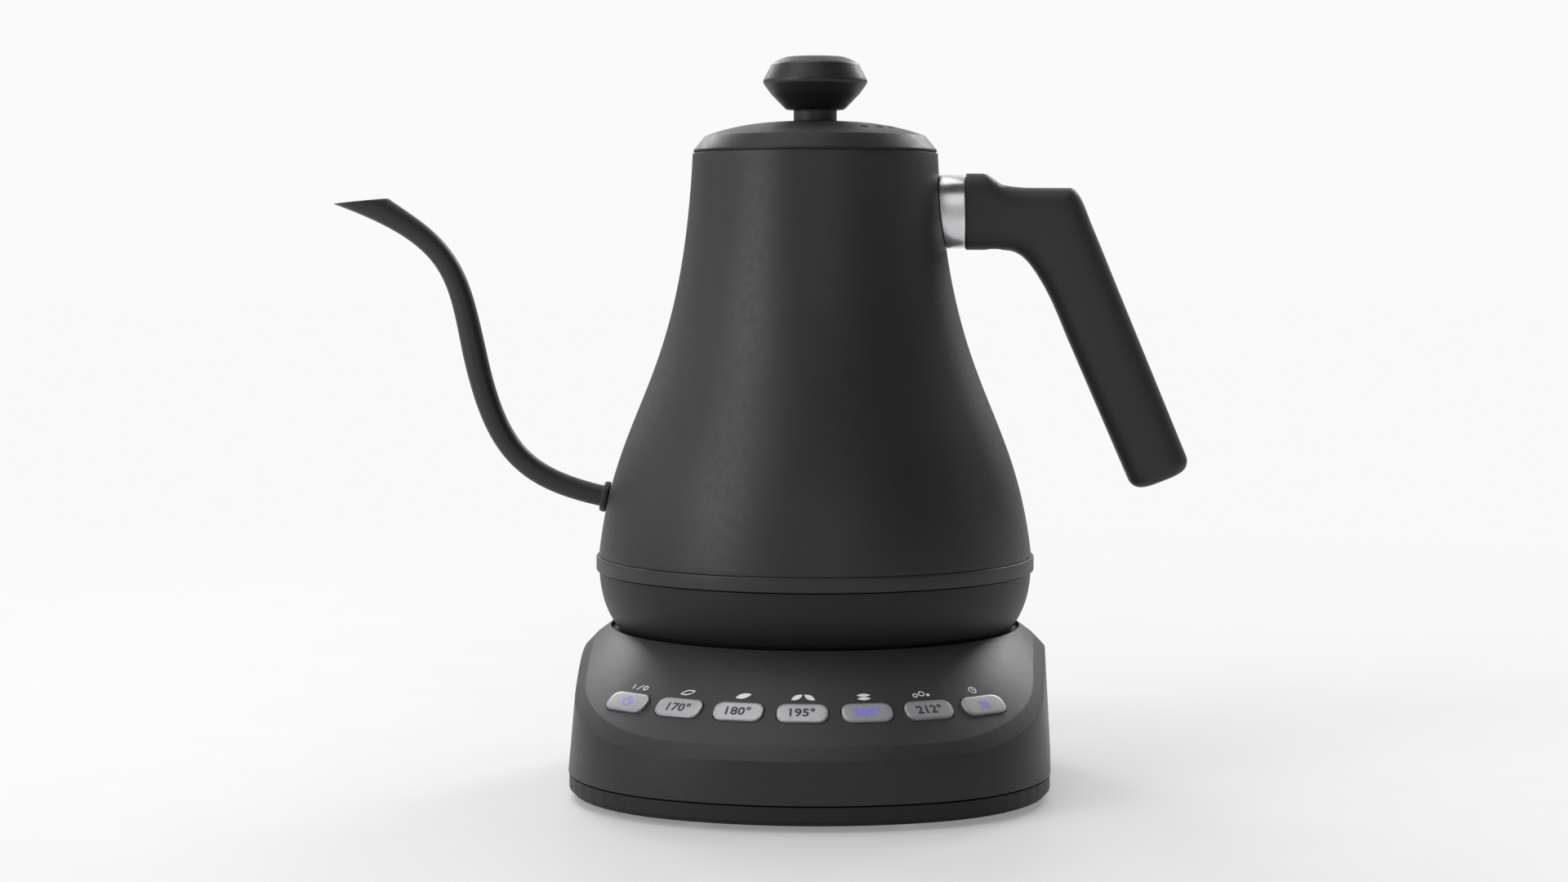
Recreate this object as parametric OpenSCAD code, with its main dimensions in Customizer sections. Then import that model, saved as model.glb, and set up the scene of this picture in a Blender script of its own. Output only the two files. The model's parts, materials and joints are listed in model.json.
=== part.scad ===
// Electric gooseneck kettle on a heated base with a seven-key temperature panel.
// Millimetres. The origin is on the kettle's axis at floor level.
// +Z is up, +X points to the handle and -Y to the keys.

/* [Kettle body] */
// Height of the kettle's rim above the floor
rim_z = 212; // [210:0.5:214]
// Outer radius of the mouth
mouth_r = 41.75; // [41.5:0.05:42]
// Outer radius of the belly, just above the belt ring
belly_r = 74.1; // [73.9:0.1:74.4]
// Height of the belly's lower edge
belly_z = 75.2; // [75:0.1:75.4]
// Thickness of the pressed steel wall
wall = 0.9; // [0.7:0.1:1]
// Radius that the belt ring stands out to
belt_r = 75; // [74.8:0.1:76]
// Underside of the lower housing
housing_z = 49.5; // [49.5:0.1:49.8]

/* [Spout] */
// Distance from the axis to the middle of the spout's S
spout_mid_x = 117.6; // [112:0.2:124]
// Height of the middle of the spout's S
spout_mid_z = 145; // [140:1:150]
// Distance from the axis to the centre of the spout's tip
spout_tip_x = 156.4; // [150:0.2:162]
// Height of the centre of the spout's tip
spout_tip_z = 196; // [192:0.2:200]
// Outer radius of the tube at its root
spout_root_r = 3.6; // [3.2:0.1:3.8]
// Outer radius of the tube at the middle of the S
spout_mid_r = 4.1; // [3.8:0.1:4.6]
// How much wider than that the tube is at its tip
spout_flare = 0.55; // [0.3:0.05:0.9]

/* [Lid and knob] */
// Outer radius of the lid's lower edge
lid_r = 41.4; // [41:0.1:41.6]
// Height of the lid's crown above the rim
crown_h = 11; // [10:0.25:12]
// Radius of the knob's widest edge
knob_r = 18; // [16:0.25:20]
// Height of the knob
knob_h = 17.8; // [16:0.2:19]

/* [Handle] */
// Width of the grip across the kettle
grip_w = 17.2; // [16:0.2:20]
// Height of the grip where it meets the ferrule
grip_h = 26; // [25:0.25:27]
// Underside of the grip where it meets the ferrule
grip_z = 179.3; // [178:0.1:180]
// Distance from the axis to the ferrule's outer end
ferrule_x = 51.2; // [50:0.2:53]

/* [Base] */
// Radius of the base's front edge
base_front_r = 109; // [108:0.5:111]
// Half the base's width, which is also the radius of its back
base_side = 81; // [80:0.5:82]
// Angle on each side of the front that the front edge spans
front_span = 22; // [20:1:25]
// Angle by which the base's sides close in towards the front
side_taper = 2; // [1:0.5:3]
// Radius of the recess that the kettle stands in
recess_r = 69.9; // [69.7:0.1:70.2]
// Height of the recess's rim
recess_rim_z = 51.5; // [51:0.1:52]
// Slope of the key panel, which is a cone about the kettle's axis
panel_slope = 36.5; // [35:0.5:38]
// Thickness of the base's moulded walls
base_wall = 2.2; // [2:0.1:2.4]

/* [Keys] */
// Radius of the ring that the keys stand on
key_ring_r = 92.7; // [91:0.1:94]
// Angle from one key to the next
key_pitch = 12.6; // [12:0.1:13]
// Width of a key
key_w = 16.2; // [14:0.2:16.8]
// Depth of a key
key_d = 8; // [7:0.2:8.6]
// Travel of a key
key_travel = 0.8; // [0.5:0.1:0.9]

/* [Cord] */
// Radius of the power cord
cord_r = 3.1; // [2.6:0.1:3.1]
// Number of half turns wound under the base
cord_halves = 6; // [2:2:6]

/* [Hidden] */
$fn = 96;
gap = 0.05;                     // gap left between pieces that touch
eps = 0.01;                     // overlap that keeps a cut clean
black = [0.13, 0.13, 0.135];
steel = [0.72, 0.73, 0.75];
brass = [0.83, 0.66, 0.33];
board_green = [0.10, 0.34, 0.20];

// Side profile of the kettle's wall, from the rim to the belly
neck_pull = [mouth_r + 4.05, rim_z - 81.6];
belly_pull = [belly_r - 5.9, belly_z + 53.1];
body_curve = [[mouth_r, rim_z], neck_pull, belly_pull, [belly_r, belly_z]];
skirt_r = belly_r - 0.45;
skirt_z = belly_z - 4.9;
floor_z = belly_z - 0.15;

// The spout's two joined curves in the XZ plane
spout_root = [-71, 94.2];
root_angle = 12;
mid_lean = 11.7;
tip_angle = 23.6;
lip_slope = 5.6;
spout_wall = 0.8;
spout_mid = [-spout_mid_x, spout_mid_z];
spout_tip = [-spout_tip_x, spout_tip_z];
spout_low = [spout_root, spout_root + 29.8 * [-cos(root_angle), sin(root_angle)],
    spout_mid - 36.6 * [-sin(mid_lean), cos(mid_lean)], spout_mid];
spout_high = [spout_mid, spout_mid + 26 * [-sin(mid_lean), cos(mid_lean)],
    spout_tip - 35 * [-cos(tip_angle), sin(tip_angle)], spout_tip];

// Lid heights
lid_z = rim_z + 0.5;
crown_z = rim_z + crown_h;
crown_r = lid_r - 3.9;
shoulder_z = lid_z + 5.4;
knob_z = crown_z + 3.9;
stem_r = 7.35;
liner_r = mouth_r - 1.75;

// Heater stack, from the kettle's floor down
spreader_r = 66;
spreader_z = floor_z - 4.15;
element_r = 46;
element_tube_r = 3.3;
element_z = spreader_z - element_tube_r - gap;
housing_screw_r = 60;
socket_r = 14;
socket_top_z = 63.5;
connector_post_r = 26.5;
sensor_r = 36;
sensor_hole_r = 3.4;
housing_spots = [90, 210, 330];
post_spots = [30, 150, 270];
element_pins = [57, 123];

// Handle
grip_zc = grip_z + grip_h / 2;
bracket_w = 8;
bracket_h = 14;
bracket_end_x = 78;
handle_screw_x = 61;

// Base
recess_z = housing_z - gap;
base_seam_z = 8.2;
panel_tan = tan(panel_slope);
edge_front_r = base_front_r - 4.4;
edge_side = base_side - 5.5;
shelf_z = recess_z - base_wall;
spigot_r = 12.4;
spigot_top_z = 62;
feet_h = 2;
well_r = 66;
well_ceiling_z = 8.8;
well_wall = 1.8;
hub_r = 28;
tray_floor = 2.4;
cord_z = 4.8;
cord_pitch = 7;
cord_start_x = -(hub_r + cord_r + 0.9);
board_z = 18;
front_screw_spots = [for (a = [-19, 19]) 101.5 * [sin(a), -cos(a)]];
back_screw_spots = [for (a = [-38, 38]) 73 * [sin(a), cos(a)]];
base_screw_spots = concat(front_screw_spots, back_screw_spots);
foot_spots = [[58, -68], [-58, -68], [0, -88], [56, 47], [-56, 47]];
board_spots = [for (x = [-38, 38], y = [-26, 30]) [x, y]];
carrier_spots = [for (a = [-1.5, 1.5] * key_pitch) 88 * [sin(a), -cos(a)]];

// ---------- shared functions and modules ----------

function unit(v) = v / norm(v);
function bezier(p, t) = pow(1 - t, 3) * p[0] + 3 * t * pow(1 - t, 2) * p[1]
    + 3 * t * t * (1 - t) * p[2] + pow(t, 3) * p[3];
function heading(p, t) = unit(pow(1 - t, 2) * (p[1] - p[0]) + 2 * t * (1 - t) * (p[2] - p[1])
    + t * t * (p[3] - p[2]));
function clamp01(v) = max(0, min(1, v));

// Points of a profile curve, moved inwards by a distance
function curve_points(p, inset, steps) =
    [for (i = [0:steps]) let (t = i / steps, d = heading(p, t)) bezier(p, t) + inset * [d.y, -d.x]];
function reversed(list) = [for (i = [len(list) - 1:-1:0]) list[i]];

// A closed ring of superellipse points with half sizes a and b
function oval(a, b, power, steps) =
    [for (i = [0:steps - 1]) let (c = cos(i * 360 / steps), s = sin(i * 360 / steps))
        [a * sign(c) * pow(abs(c), 2 / power), b * sign(s) * pow(abs(s), 2 / power)]];

// Faces that join rings of m points each, in order, with both ends closed
function skin_faces(rings, m) = concat(
    [for (i = [0:rings - 2], j = [0:m - 1]) let (k = (j + 1) % m)
        each [[i * m + j, i * m + k, (i + 1) * m + k], [i * m + j, (i + 1) * m + k, (i + 1) * m + j]]],
    [[for (j = [m - 1:-1:0]) j]],
    [[for (j = [0:m - 1]) (rings - 1) * m + j]]);

// Faces of a pipe: outer rings first, then as many inner rings
function pipe_faces(rings, m) = let (half = rings * m) concat(
    [for (i = [0:rings - 2], j = [0:m - 1]) let (k = (j + 1) % m, a = i * m, b = a + m) each [
        [a + j, a + k, b + k], [a + j, b + k, b + j],
        [half + a + j, half + b + k, half + a + k], [half + a + j, half + b + j, half + b + k]]],
    [for (j = [0:m - 1]) let (k = (j + 1) % m, e = (rings - 1) * m) each [
        [j, half + j, half + k], [j, half + k, k],
        [e + j, half + e + k, half + e + j], [e + j, e + k, half + e + k]]]);

module ring(r_out, r_in, z0, z1) {
    translate([0, 0, z0]) difference() {
        cylinder(r = r_out, h = z1 - z0);
        translate([0, 0, -1]) cylinder(r = r_in, h = z1 - z0 + 2);
    }
}

module disc(r, z0, z1) {
    translate([0, 0, z0]) cylinder(r = r, h = z1 - z0);
}

module around(angles, r) {
    for (a = angles) rotate([0, 0, a]) translate([r, 0, 0]) children();
}

module at(spots) {
    for (s = spots) translate([s.x, s.y, 0]) children();
}

// A pan-head screw with a cross slot, standing head down on z = 0 with its shank up
module screw(head_r, head_h, shank_r, length) {
    difference() {
        union() {
            cylinder(r = head_r, h = head_h);
            cylinder(r = shank_r, h = head_h + length);
        }
        for (a = [0, 90]) rotate([0, 0, a]) translate([-head_r * 0.6, -head_r * 0.12, -1])
            cube([head_r * 1.2, head_r * 0.24, 1 + head_h * 0.5]);
    }
}

// A flat rectangle with rounded corners
module rounded_rect(x, y, r) {
    square([x - 2 * r, y], center = true);
    square([x, y - 2 * r], center = true);
    for (sx = [-1, 1], sy = [-1, 1])
        translate([sx * (x / 2 - r), sy * (y / 2 - r)]) circle(r = r, $fn = 32);
}

// A block with its four upright edges rounded
module rounded_block(x, y, z, r) {
    linear_extrude(z) rounded_rect(x, y, r);
}

// ---------- kettle ----------

module wall_solid(grow) {
    rotate_extrude() polygon(concat([[0, rim_z + 1], [mouth_r + grow, rim_z + 1]],
        curve_points(body_curve, -grow, 36), [[belly_r + grow, skirt_z], [0, skirt_z]]));
}

module along_root(distance) {
    translate([spout_root.x, 0, spout_root.y]) rotate([0, root_angle - 90, 0])
        translate([0, 0, distance]) children();
}

module kettle_shell() {
    outer = curve_points(body_curve, 0, 36);
    inner = reversed(curve_points(body_curve, wall, 36));
    color(black) difference() {
        rotate_extrude() polygon(concat(
            [[mouth_r - 0.3, rim_z + 0.02]], [for (p = outer) if (p.y < rim_z - 0.3) p],
            [[skirt_r, belly_z], [skirt_r, skirt_z], [skirt_r - wall, skirt_z], [skirt_r - wall, belly_z]],
            [for (p = inner) if (p.y > belly_z + 0.8 && p.y < rim_z - 0.3) p],
            [[mouth_r - wall + 0.25, rim_z + 0.02]]));
        along_root(-6) cylinder(r = spout_root_r + gap, h = 12, $fn = 48);
    }
}

// The tube's rings: u runs 0 to 1 along the lower curve and 1 to 2 along the upper one
function spout_point(u) = u < 1 ? bezier(spout_low, u) : bezier(spout_high, u - 1);
function spout_heading(u) = u < 1 ? heading(spout_low, u) : heading(spout_high, u - 1);
function spout_radius(u) = let (v = clamp01(u - 1)) spout_root_r + (spout_mid_r - spout_root_r) * clamp01(u)
    - 1.4 * v * (1 - v) + spout_flare * pow(clamp01((v - 0.6) / 0.4), 3);

// How far a point of the last ring moves along the tube to reach the slanted lip
function lip_shift(side, r) = let (d = spout_heading(2), m = [-sin(lip_slope), cos(lip_slope)],
    across = [-d.y, d.x], offset = r * side * across) -(offset * m) / (d * m);

function spout_ring(u, inset, m) =
    let (c = spout_point(u), d = spout_heading(u), r = spout_radius(u) - inset,
        slant = pow(clamp01((u - 1.72) / 0.28), 1.4))
    [for (j = [0:m - 1])
        let (side = cos(j * 360 / m), p = c + r * side * [-d.y, d.x] + slant * lip_shift(side, r) * d)
        [p.x, r * sin(j * 360 / m), p.y]];

module spout_tube() {
    m = 24;
    last = 44;
    inside = 3.2;
    back = inside * [cos(root_angle), 0, -sin(root_angle)];
    steps = [for (i = [0:last]) 2 * i / last];
    rings_of = function (inset) concat([for (p = spout_ring(0, inset, m)) p + back],
        [for (u = steps) each spout_ring(u, inset, m)]);
    color(black)
        polyhedron(points = concat(rings_of(0), rings_of(spout_wall)), faces = pipe_faces(last + 2, m));
}

module spout_collar() {
    color(black) along_root(0.4) rotate_extrude($fn = 48) polygon([[spout_root_r + 2 * gap, 0], [5.3, 0],
        [5.3, 1.5], [4.9, 2.0], [spout_root_r + 0.25, 2.0]]);
}

module belt_ring() {
    top = belly_z - gap;
    color(black) rotate_extrude() polygon([[skirt_r + gap, top], [belt_r - 0.45, top], [belt_r, top - 0.5],
        [belt_r, skirt_z + 0.6], [belt_r - 0.4, skirt_z], [skirt_r + gap, skirt_z]]);
}

module floor_plate() {
    color(steel) difference() {
        disc(skirt_r - wall - gap, floor_z, floor_z + 0.9);
        around([-90], sensor_r) disc(sensor_hole_r, floor_z - 1, floor_z + 2, $fn = 32);
    }
}

module heat_spreader() {
    color([0.8, 0.8, 0.82]) difference() {
        disc(spreader_r, spreader_z, floor_z - gap);
        around([-90], sensor_r) disc(sensor_hole_r, spreader_z - 1, spreader_z + 7, $fn = 32);
        around(housing_spots, housing_screw_r) disc(1.55, spreader_z - 1, spreader_z + 3, $fn = 32);
        around(post_spots, connector_post_r) disc(1.25, spreader_z - 1, spreader_z + 2.5, $fn = 32);
    }
}

module heating_element() {
    color([0.35, 0.35, 0.37]) union() {
        translate([0, 0, element_z]) rotate([0, 0, 118]) rotate_extrude(angle = 304)
            translate([element_r, 0]) circle(r = element_tube_r, $fn = 32);
        around(element_pins, element_r) disc(1.6, element_z - 9, element_z, $fn = 32);
    }
}

module element_leads() {
    color([0.75, 0.1, 0.1]) around(element_pins, 0) {
        translate([element_r, 0, 0]) ring(3, 1.65, element_z - 8.5, element_z - 7.3);
        translate([22.1, 0, element_z - 7.9]) rotate([0, 90, 0])
            cylinder(r = 0.9, h = element_r - 24.7, $fn = 24);
    }
}

module boil_dry_thermostats() {
    color([0.85, 0.83, 0.78]) around([180, 0], sensor_r) {
        disc(5.4, spreader_z - 7, spreader_z - gap);
        translate([-2, -1, spreader_z - 10]) cube([4, 2, 3.5]);
    }
}

module temperature_sensor() {
    color(steel) around([-90], sensor_r) {
        disc(2.2, spreader_z - 8, floor_z + 6);
        translate([0, 0, floor_z + 6]) sphere(r = 2.2, $fn = 32);
    }
}

module sensor_seal() {
    color([0.75, 0.3, 0.2]) around([-90], sensor_r) rotate_extrude($fn = 48)
        polygon([[2.25, spreader_z - 1], [sensor_hole_r - gap, spreader_z - 1],
            [sensor_hole_r - gap, floor_z + 0.95], [5, floor_z + 0.95],
            [4.6, floor_z + 2], [2.25, floor_z + 2.4]]);
}

module kettle_connector() {
    post_top = spreader_z - gap;
    color([0.2, 0.2, 0.22]) difference() {
        union() {
            disc(22, housing_z + 0.7, 64.2);
            disc(30, 64, 66.5);
            around(post_spots, connector_post_r) disc(3, 66, post_top);
        }
        disc(socket_r, 0, socket_top_z);
        around(post_spots, connector_post_r) disc(1.3, 60, 80, $fn = 32);
    }
}

module connector_screws() {
    color(steel) around(post_spots, connector_post_r) translate([0, 0, 62.15])
        screw(2.3, 1.8, 1.2, 9.4, $fn = 32);
}

module contact_sleeve() {
    color(brass) union() {
        ring(socket_r - 0.1, spigot_r + 0.25, 52, 61.8);
        disc(2, 52, socket_top_z - gap, $fn = 32);
    }
}

module lower_housing() {
    top = skirt_z - 0.35;
    side = [[belly_r - 0.15, top], [belly_r - 0.4, top - 7.2], [belly_r - 2.2, top - 14.6],
        [belly_r - 7.6, housing_z]];
    outer = curve_points(side, 0, 20);
    inner = reversed(curve_points(side, 2.2, 20));
    lip_r = skirt_r - wall - 0.1;
    color(black) difference() {
        union() {
            rotate_extrude() polygon(concat(outer, [[24.5, housing_z], [24.5, housing_z + 2.2]],
                [for (p = inner) if (p.y > housing_z + 2.2 && p.y < top - 1) p],
                [[belly_r - 3.6, top - 0.8], [lip_r - 1.6, top + 2.6], [lip_r, top + 2.6], [lip_r, top]]));
            around(housing_spots, housing_screw_r) disc(4, housing_z + 1, spreader_z - gap);
        }
        around(housing_spots, housing_screw_r) {
            disc(1.7, 0, 90, $fn = 32);
            disc(3.4, 0, housing_z + 3.5, $fn = 32);
        }
    }
}

module housing_screws() {
    color(steel) around(housing_spots, housing_screw_r) translate([0, 0, housing_z + 1.4])
        screw(3, 2, 1.5, 20.5, $fn = 32);
}

// ---------- handle ----------

module handle_bracket() {
    color(steel) difference() {
        translate([40, -bracket_w / 2, grip_zc - bracket_h / 2])
            cube([bracket_end_x - 40, bracket_w, bracket_h]);
        wall_solid(gap);
        translate([handle_screw_x, 0, grip_zc - bracket_h]) cylinder(r = 1.65, h = 2 * bracket_h, $fn = 32);
    }
}

module handle_ferrule() {
    color([0.8, 0.8, 0.82]) difference() {
        translate([38, 0, grip_zc]) rotate([90, 0, 90])
            linear_extrude(ferrule_x - gap - 38) polygon(oval(grip_w / 2 - 0.3, grip_h / 2 - 0.5, 2.6, 48));
        wall_solid(gap);
        translate([30, -bracket_w / 2 - gap, grip_zc - bracket_h / 2 - gap])
            cube([40, bracket_w + 2 * gap, bracket_h + 2 * gap]);
    }
}

// The grip is a row of oval ribs. Each rib spans the handle from its inner edge to its outer one.
top_z = grip_z + grip_h;
grip_inner = [[ferrule_x, grip_z], [ferrule_x + 6, grip_z], [ferrule_x + 11.6, grip_z],
    [ferrule_x + 15.2, grip_z - 0.3], [ferrule_x + 18.4, grip_z - 1.6], [ferrule_x + 21.2, grip_z - 4],
    [ferrule_x + 23.9, grip_z - 7.6], [ferrule_x + 28.4, grip_z - 15.4]];
grip_outer = [[ferrule_x, top_z], [ferrule_x + 6.3, top_z - 0.1], [ferrule_x + 9.6, top_z - 1.9],
    [ferrule_x + 13, top_z - 4], [ferrule_x + 22, top_z - 4.9], [ferrule_x + 36.2, top_z - 5],
    [ferrule_x + 38.1, top_z - 6.9], [ferrule_x + 42.9, top_z - 17.7]];
leg_inner_end = grip_inner[7] + 68 * [0.4, -0.9165];
leg_outer_end = grip_outer[7] + 84.6 * [0.383, -0.924];
leg_ribs = [for (t = [0.25:0.25:1]) [grip_inner[7] + t * (leg_inner_end - grip_inner[7]),
    grip_outer[7] + t * (leg_outer_end - grip_outer[7])]];
// The rounded end: ribs that move on by a quarter turn while they shrink
end_mid = (leg_inner_end + leg_outer_end) / 2;
end_half = (leg_outer_end - leg_inner_end) / 2;
end_way = unit([end_half.y, -end_half.x]);
end_depth = 5;
end_ribs = [for (a = [15:15:75]) let (s = pow(cos(a), 0.42), c = end_mid + end_depth * sin(a) * end_way)
    [c - s * end_half, c + s * end_half, s]];
grip_ribs = concat([for (i = [0:7]) [grip_inner[i], grip_outer[i]]], leg_ribs, end_ribs);

function rib_ring(rib, m) = let (c = (rib[0] + rib[1]) / 2, h = (rib[1] - rib[0]) / 2,
    w = grip_w / 2 * (len(rib) > 2 ? rib[2] : 1))
    [for (q = oval(1, 1, 2.6, m)) [c.x + q.x * h.x, -q.y * w, c.y + q.x * h.y]];

module handle_grip() {
    m = 28;
    color(black) difference() {
        polyhedron(points = [for (rib = grip_ribs) each rib_ring(rib, m)],
            faces = skin_faces(len(grip_ribs), m));
        translate([ferrule_x - 1, -bracket_w / 2 - 0.1, grip_zc - bracket_h / 2 - 0.1])
            cube([bracket_end_x - ferrule_x + 1.5, bracket_w + 0.2, bracket_h + 0.2]);
        translate([handle_screw_x, 0, grip_z - 3]) cylinder(r = 1.8, h = 16, $fn = 32);
        translate([handle_screw_x, 0, grip_z - 3]) cylinder(r = 3.2, h = 5.4, $fn = 32);
    }
}

module handle_screw() {
    color(steel) translate([handle_screw_x, 0, grip_z + 0.3]) screw(2.9, 2, 1.6, 15, $fn = 32);
}

// ---------- lid ----------

function crown_height(r, edge_r, edge_z, top) = edge_z + (top - edge_z) * (1 - pow(r / edge_r, 2.8));

module lid_cover() {
    sheet = 1;
    n = 14;
    top = [for (i = [0:n]) let (r = crown_r * (1 - i / n))
        [r, crown_height(r, crown_r, shoulder_z, crown_z)]];
    under = [for (i = [n:-1:0]) let (r = (crown_r - 0.4) * (1 - i / n))
        [r, crown_height(r, crown_r - 0.4, shoulder_z - sheet, crown_z - sheet)]];
    color(black) difference() {
        rotate_extrude()
            polygon(concat([[lid_r, lid_z], [lid_r, lid_z + 0.6]], top, under, [[lid_r - 1, lid_z]]));
        disc(2.3, 200, 240, $fn = 32);
        around([-54, -41, -28], 29.5) disc(1.4, 200, 240, $fn = 24);
    }
}

module lid_liner() {
    color(steel) difference() {
        union() {
            ring(liner_r, liner_r - 0.6, rim_z - 12, lid_z - gap);
            ring(liner_r + 1.35, liner_r - 0.6, rim_z + 0.05, lid_z - gap);
            disc(liner_r - 0.3, rim_z - 12, rim_z - 11.4);
        }
        around([30:60:330], 26) disc(2.5, rim_z - 20, rim_z, $fn = 32);
    }
}

module lid_gasket() {
    color([0.6, 0.6, 0.58]) rotate_extrude() polygon([
        [liner_r + gap, rim_z - 9], [liner_r + 0.35, rim_z - 9],
        [liner_r + 0.7, rim_z - 7.6], [liner_r + 0.35, rim_z - 6.6], [liner_r + 0.7, rim_z - 5.2],
        [liner_r + 0.35, rim_z - 4.2], [liner_r + gap, rim_z - 4.2]]);
}

module knob_stem() {
    color(black) ring(stem_r, 2.3, crown_z + 0.02, knob_z - gap);
}

module lid_knob() {
    edge_z = knob_z + knob_h * 0.525;
    color(black) difference() {
        rotate_extrude() polygon([[0, knob_z], [knob_r * 0.5, knob_z], [knob_r * 0.58, knob_z + 0.5],
            [knob_r * 0.83, knob_z + knob_h * 0.29], [knob_r * 0.985, edge_z - 0.5],
            [knob_r, edge_z], [knob_r * 0.985, edge_z + 0.6],
            [knob_r * 0.86, knob_z + knob_h * 0.8], [knob_r * 0.825, knob_z + knob_h * 0.875],
            [knob_r * 0.64, knob_z + knob_h * 0.97], [knob_r * 0.55, knob_z + knob_h],
            [0, knob_z + knob_h]]);
        disc(2.15, knob_z - 1, knob_z + 10, $fn = 32);
    }
}

module knob_screw() {
    color(steel) translate([0, 0, crown_z - 4.6]) screw(4, 2.6, 2, 15.2, $fn = 32);
}

module knob_washer() {
    color(steel) ring(6, 2.2, crown_z - 1.95, crown_z - 1.1);
}

// ---------- base ----------

// Half outline of the base in plan, as a distance from the axis at an angle from the front.
// A front arc about the axis runs into a tighter corner, a straight tapered side and a round back.
function corner_r(front, side) = let (s = sin(front_span + side_taper)) (side - front * s) / (1 - s);
function corner_distance(front, side, a) = let (rc = corner_r(front, side), d = front - rc,
    t = a - front_span) d * cos(t) + sqrt(rc * rc - pow(d * sin(t), 2));
function side_turn(front, side) = let (rc = corner_r(front, side), d = front - rc)
    atan2(d * sin(front_span) + rc * cos(side_taper), d * cos(front_span) + rc * sin(side_taper));
function outline_distance(front, side, angle) = let (a = abs(angle)) a <= front_span ? front
    : a <= side_turn(front, side) ? corner_distance(front, side, a)
    : a <= 90 - side_taper ? side / sin(a + side_taper) : side;
outline_steps = 96;
outline_angles = [for (i = [0:outline_steps - 1]) 180 - 360 * i / outline_steps];
function outline(front, side) =
    [for (a = outline_angles) outline_distance(front, side, a) * [sin(a), -cos(a)]];
function ring_at(front, side, z) = [for (p = outline(front, side)) [p.x, p.y, z]];
function panel_z(r) = recess_rim_z - (r - recess_r) * panel_tan;

// A ring along the panel's edge, dropped and grown by the chamfer
function edge_ring(grow, drop) =
    [for (a = outline_angles) let (r = outline_distance(edge_front_r, edge_side, a), q = r + grow)
        [q * sin(a), -q * cos(a), panel_z(r) - drop]];

module base_walls() {
    rings = concat(ring_at(base_front_r, base_side, base_seam_z), edge_ring(3.5, 3.8), edge_ring(-3, -3),
        ring_at(edge_front_r - 20, edge_side - 20, recess_rim_z + 10));
    polyhedron(points = rings, faces = skin_faces(4, outline_steps));
}

module base_hollow() {
    low = ring_at(base_front_r - base_wall, base_side - base_wall, base_seam_z - 1);
    high = ring_at(base_front_r - base_wall - 5, base_side - base_wall - 2.9, recess_rim_z);
    intersection() {
        polyhedron(points = concat(low, high), faces = skin_faces(2, outline_steps));
        rotate_extrude()
            polygon([[0, 0], [130, 0], [130, inner_panel_z(130)], [shelf_edge_r, shelf_z], [0, shelf_z]]);
    }
}
function inner_panel_z(r) = panel_z(r) - base_wall / cos(panel_slope);
shelf_edge_r = recess_r + (inner_panel_z(recess_r) - shelf_z) / panel_tan;

// Places children on the panel at an angle from the front, with +Z along the panel's outward normal
module on_panel(angle, r = key_ring_r) {
    rotate([0, 0, angle]) translate([0, -r, panel_z(r)]) rotate([panel_slope, 0, 0]) children();
}
module key_outline(grow) {
    rounded_rect(key_w + 2 * grow, key_d + 2 * grow, 3.2 + grow);
}

module base_cover() {
    color(black) difference() {
        union() {
            difference() {
                intersection() {
                    base_walls();
                    rotate_extrude() polygon([
                        [0, 0], [140, 0], [140, panel_z(140)], [recess_r, recess_rim_z],
                        [recess_r, recess_z], [0, recess_z]]);
                }
                base_hollow();
            }
            at(front_screw_spots) disc(3.5, base_seam_z - 3, inner_panel_z(105) + 1.4);
            at(back_screw_spots) disc(3.5, base_seam_z - 3, inner_panel_z(76.5) + 1);
            around(post_spots, 30) disc(3, shelf_z - 2.4, shelf_z + 0.5);
        }
        at(base_screw_spots) disc(1.3, 0, base_seam_z + 12, $fn = 32);
        around(post_spots, 30) disc(1.25, 30, shelf_z + 1, $fn = 32);
        disc(23, 30, 60);
        for (i = [-3:3]) on_panel(i * key_pitch) translate([0, 0, -6]) linear_extrude(9) key_outline(0.3);
    }
}

module base_bottom() {
    wall_in = 3;
    color(black) difference() {
        union() {
            difference() {
                union() {
                    translate([0, 0, feet_h + 1.4]) linear_extrude(base_seam_z - 0.2 - feet_h - 1.4)
                        polygon(outline(base_front_r - 0.3, base_side - 0.3));
                    translate([0, 0, feet_h]) linear_extrude(1.5)
                        polygon(outline(base_front_r - 1.6, base_side - 1.6));
                }
                translate([0, 0, feet_h + tray_floor]) linear_extrude(20)
                    polygon(outline(base_front_r - wall_in, base_side - wall_in));
            }
            disc(well_r + well_wall, feet_h, well_ceiling_z + 1.6);
            at(base_screw_spots) disc(5, feet_h, base_seam_z - 3.05);
            at(carrier_spots) disc(4, feet_h, carrier_post_z);
            at(board_spots) disc(3.5, well_ceiling_z, board_z - gap);
        }
        difference() {
            disc(well_r, -1, well_ceiling_z);
            disc(hub_r, -2, well_ceiling_z + 1);
        }
        disc(hub_r - 2, -1, well_ceiling_z);
        translate([cord_exit_x - cord_r - 0.6, well_r - 12, -1])
            cube([2 * cord_r + 1.2, 40, base_seam_z + 1]);
        translate([cord_start_x, cord_drop_y, 0]) disc(4.5, 0, 20, $fn = 32);
        at(base_screw_spots) {
            disc(1.7, -1, 20, $fn = 32);
            disc(3.3, -1, feet_h + 1.6, $fn = 32);
        }
        at(foot_spots) disc(4.6, -1, feet_h + 0.8, $fn = 48);
        at(carrier_spots) disc(1.05, carrier_post_z - 7, carrier_post_z + 1, $fn = 24);
        at(board_spots) disc(1.05, board_z - 6, board_z + 1, $fn = 24);
    }
    color(black) ring(hub_r + 6, hub_r - 1.9, 0.6, 1.5);
    color(black) ring(hub_r, hub_r - 2, 1.4, feet_h + 0.1);
}

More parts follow.
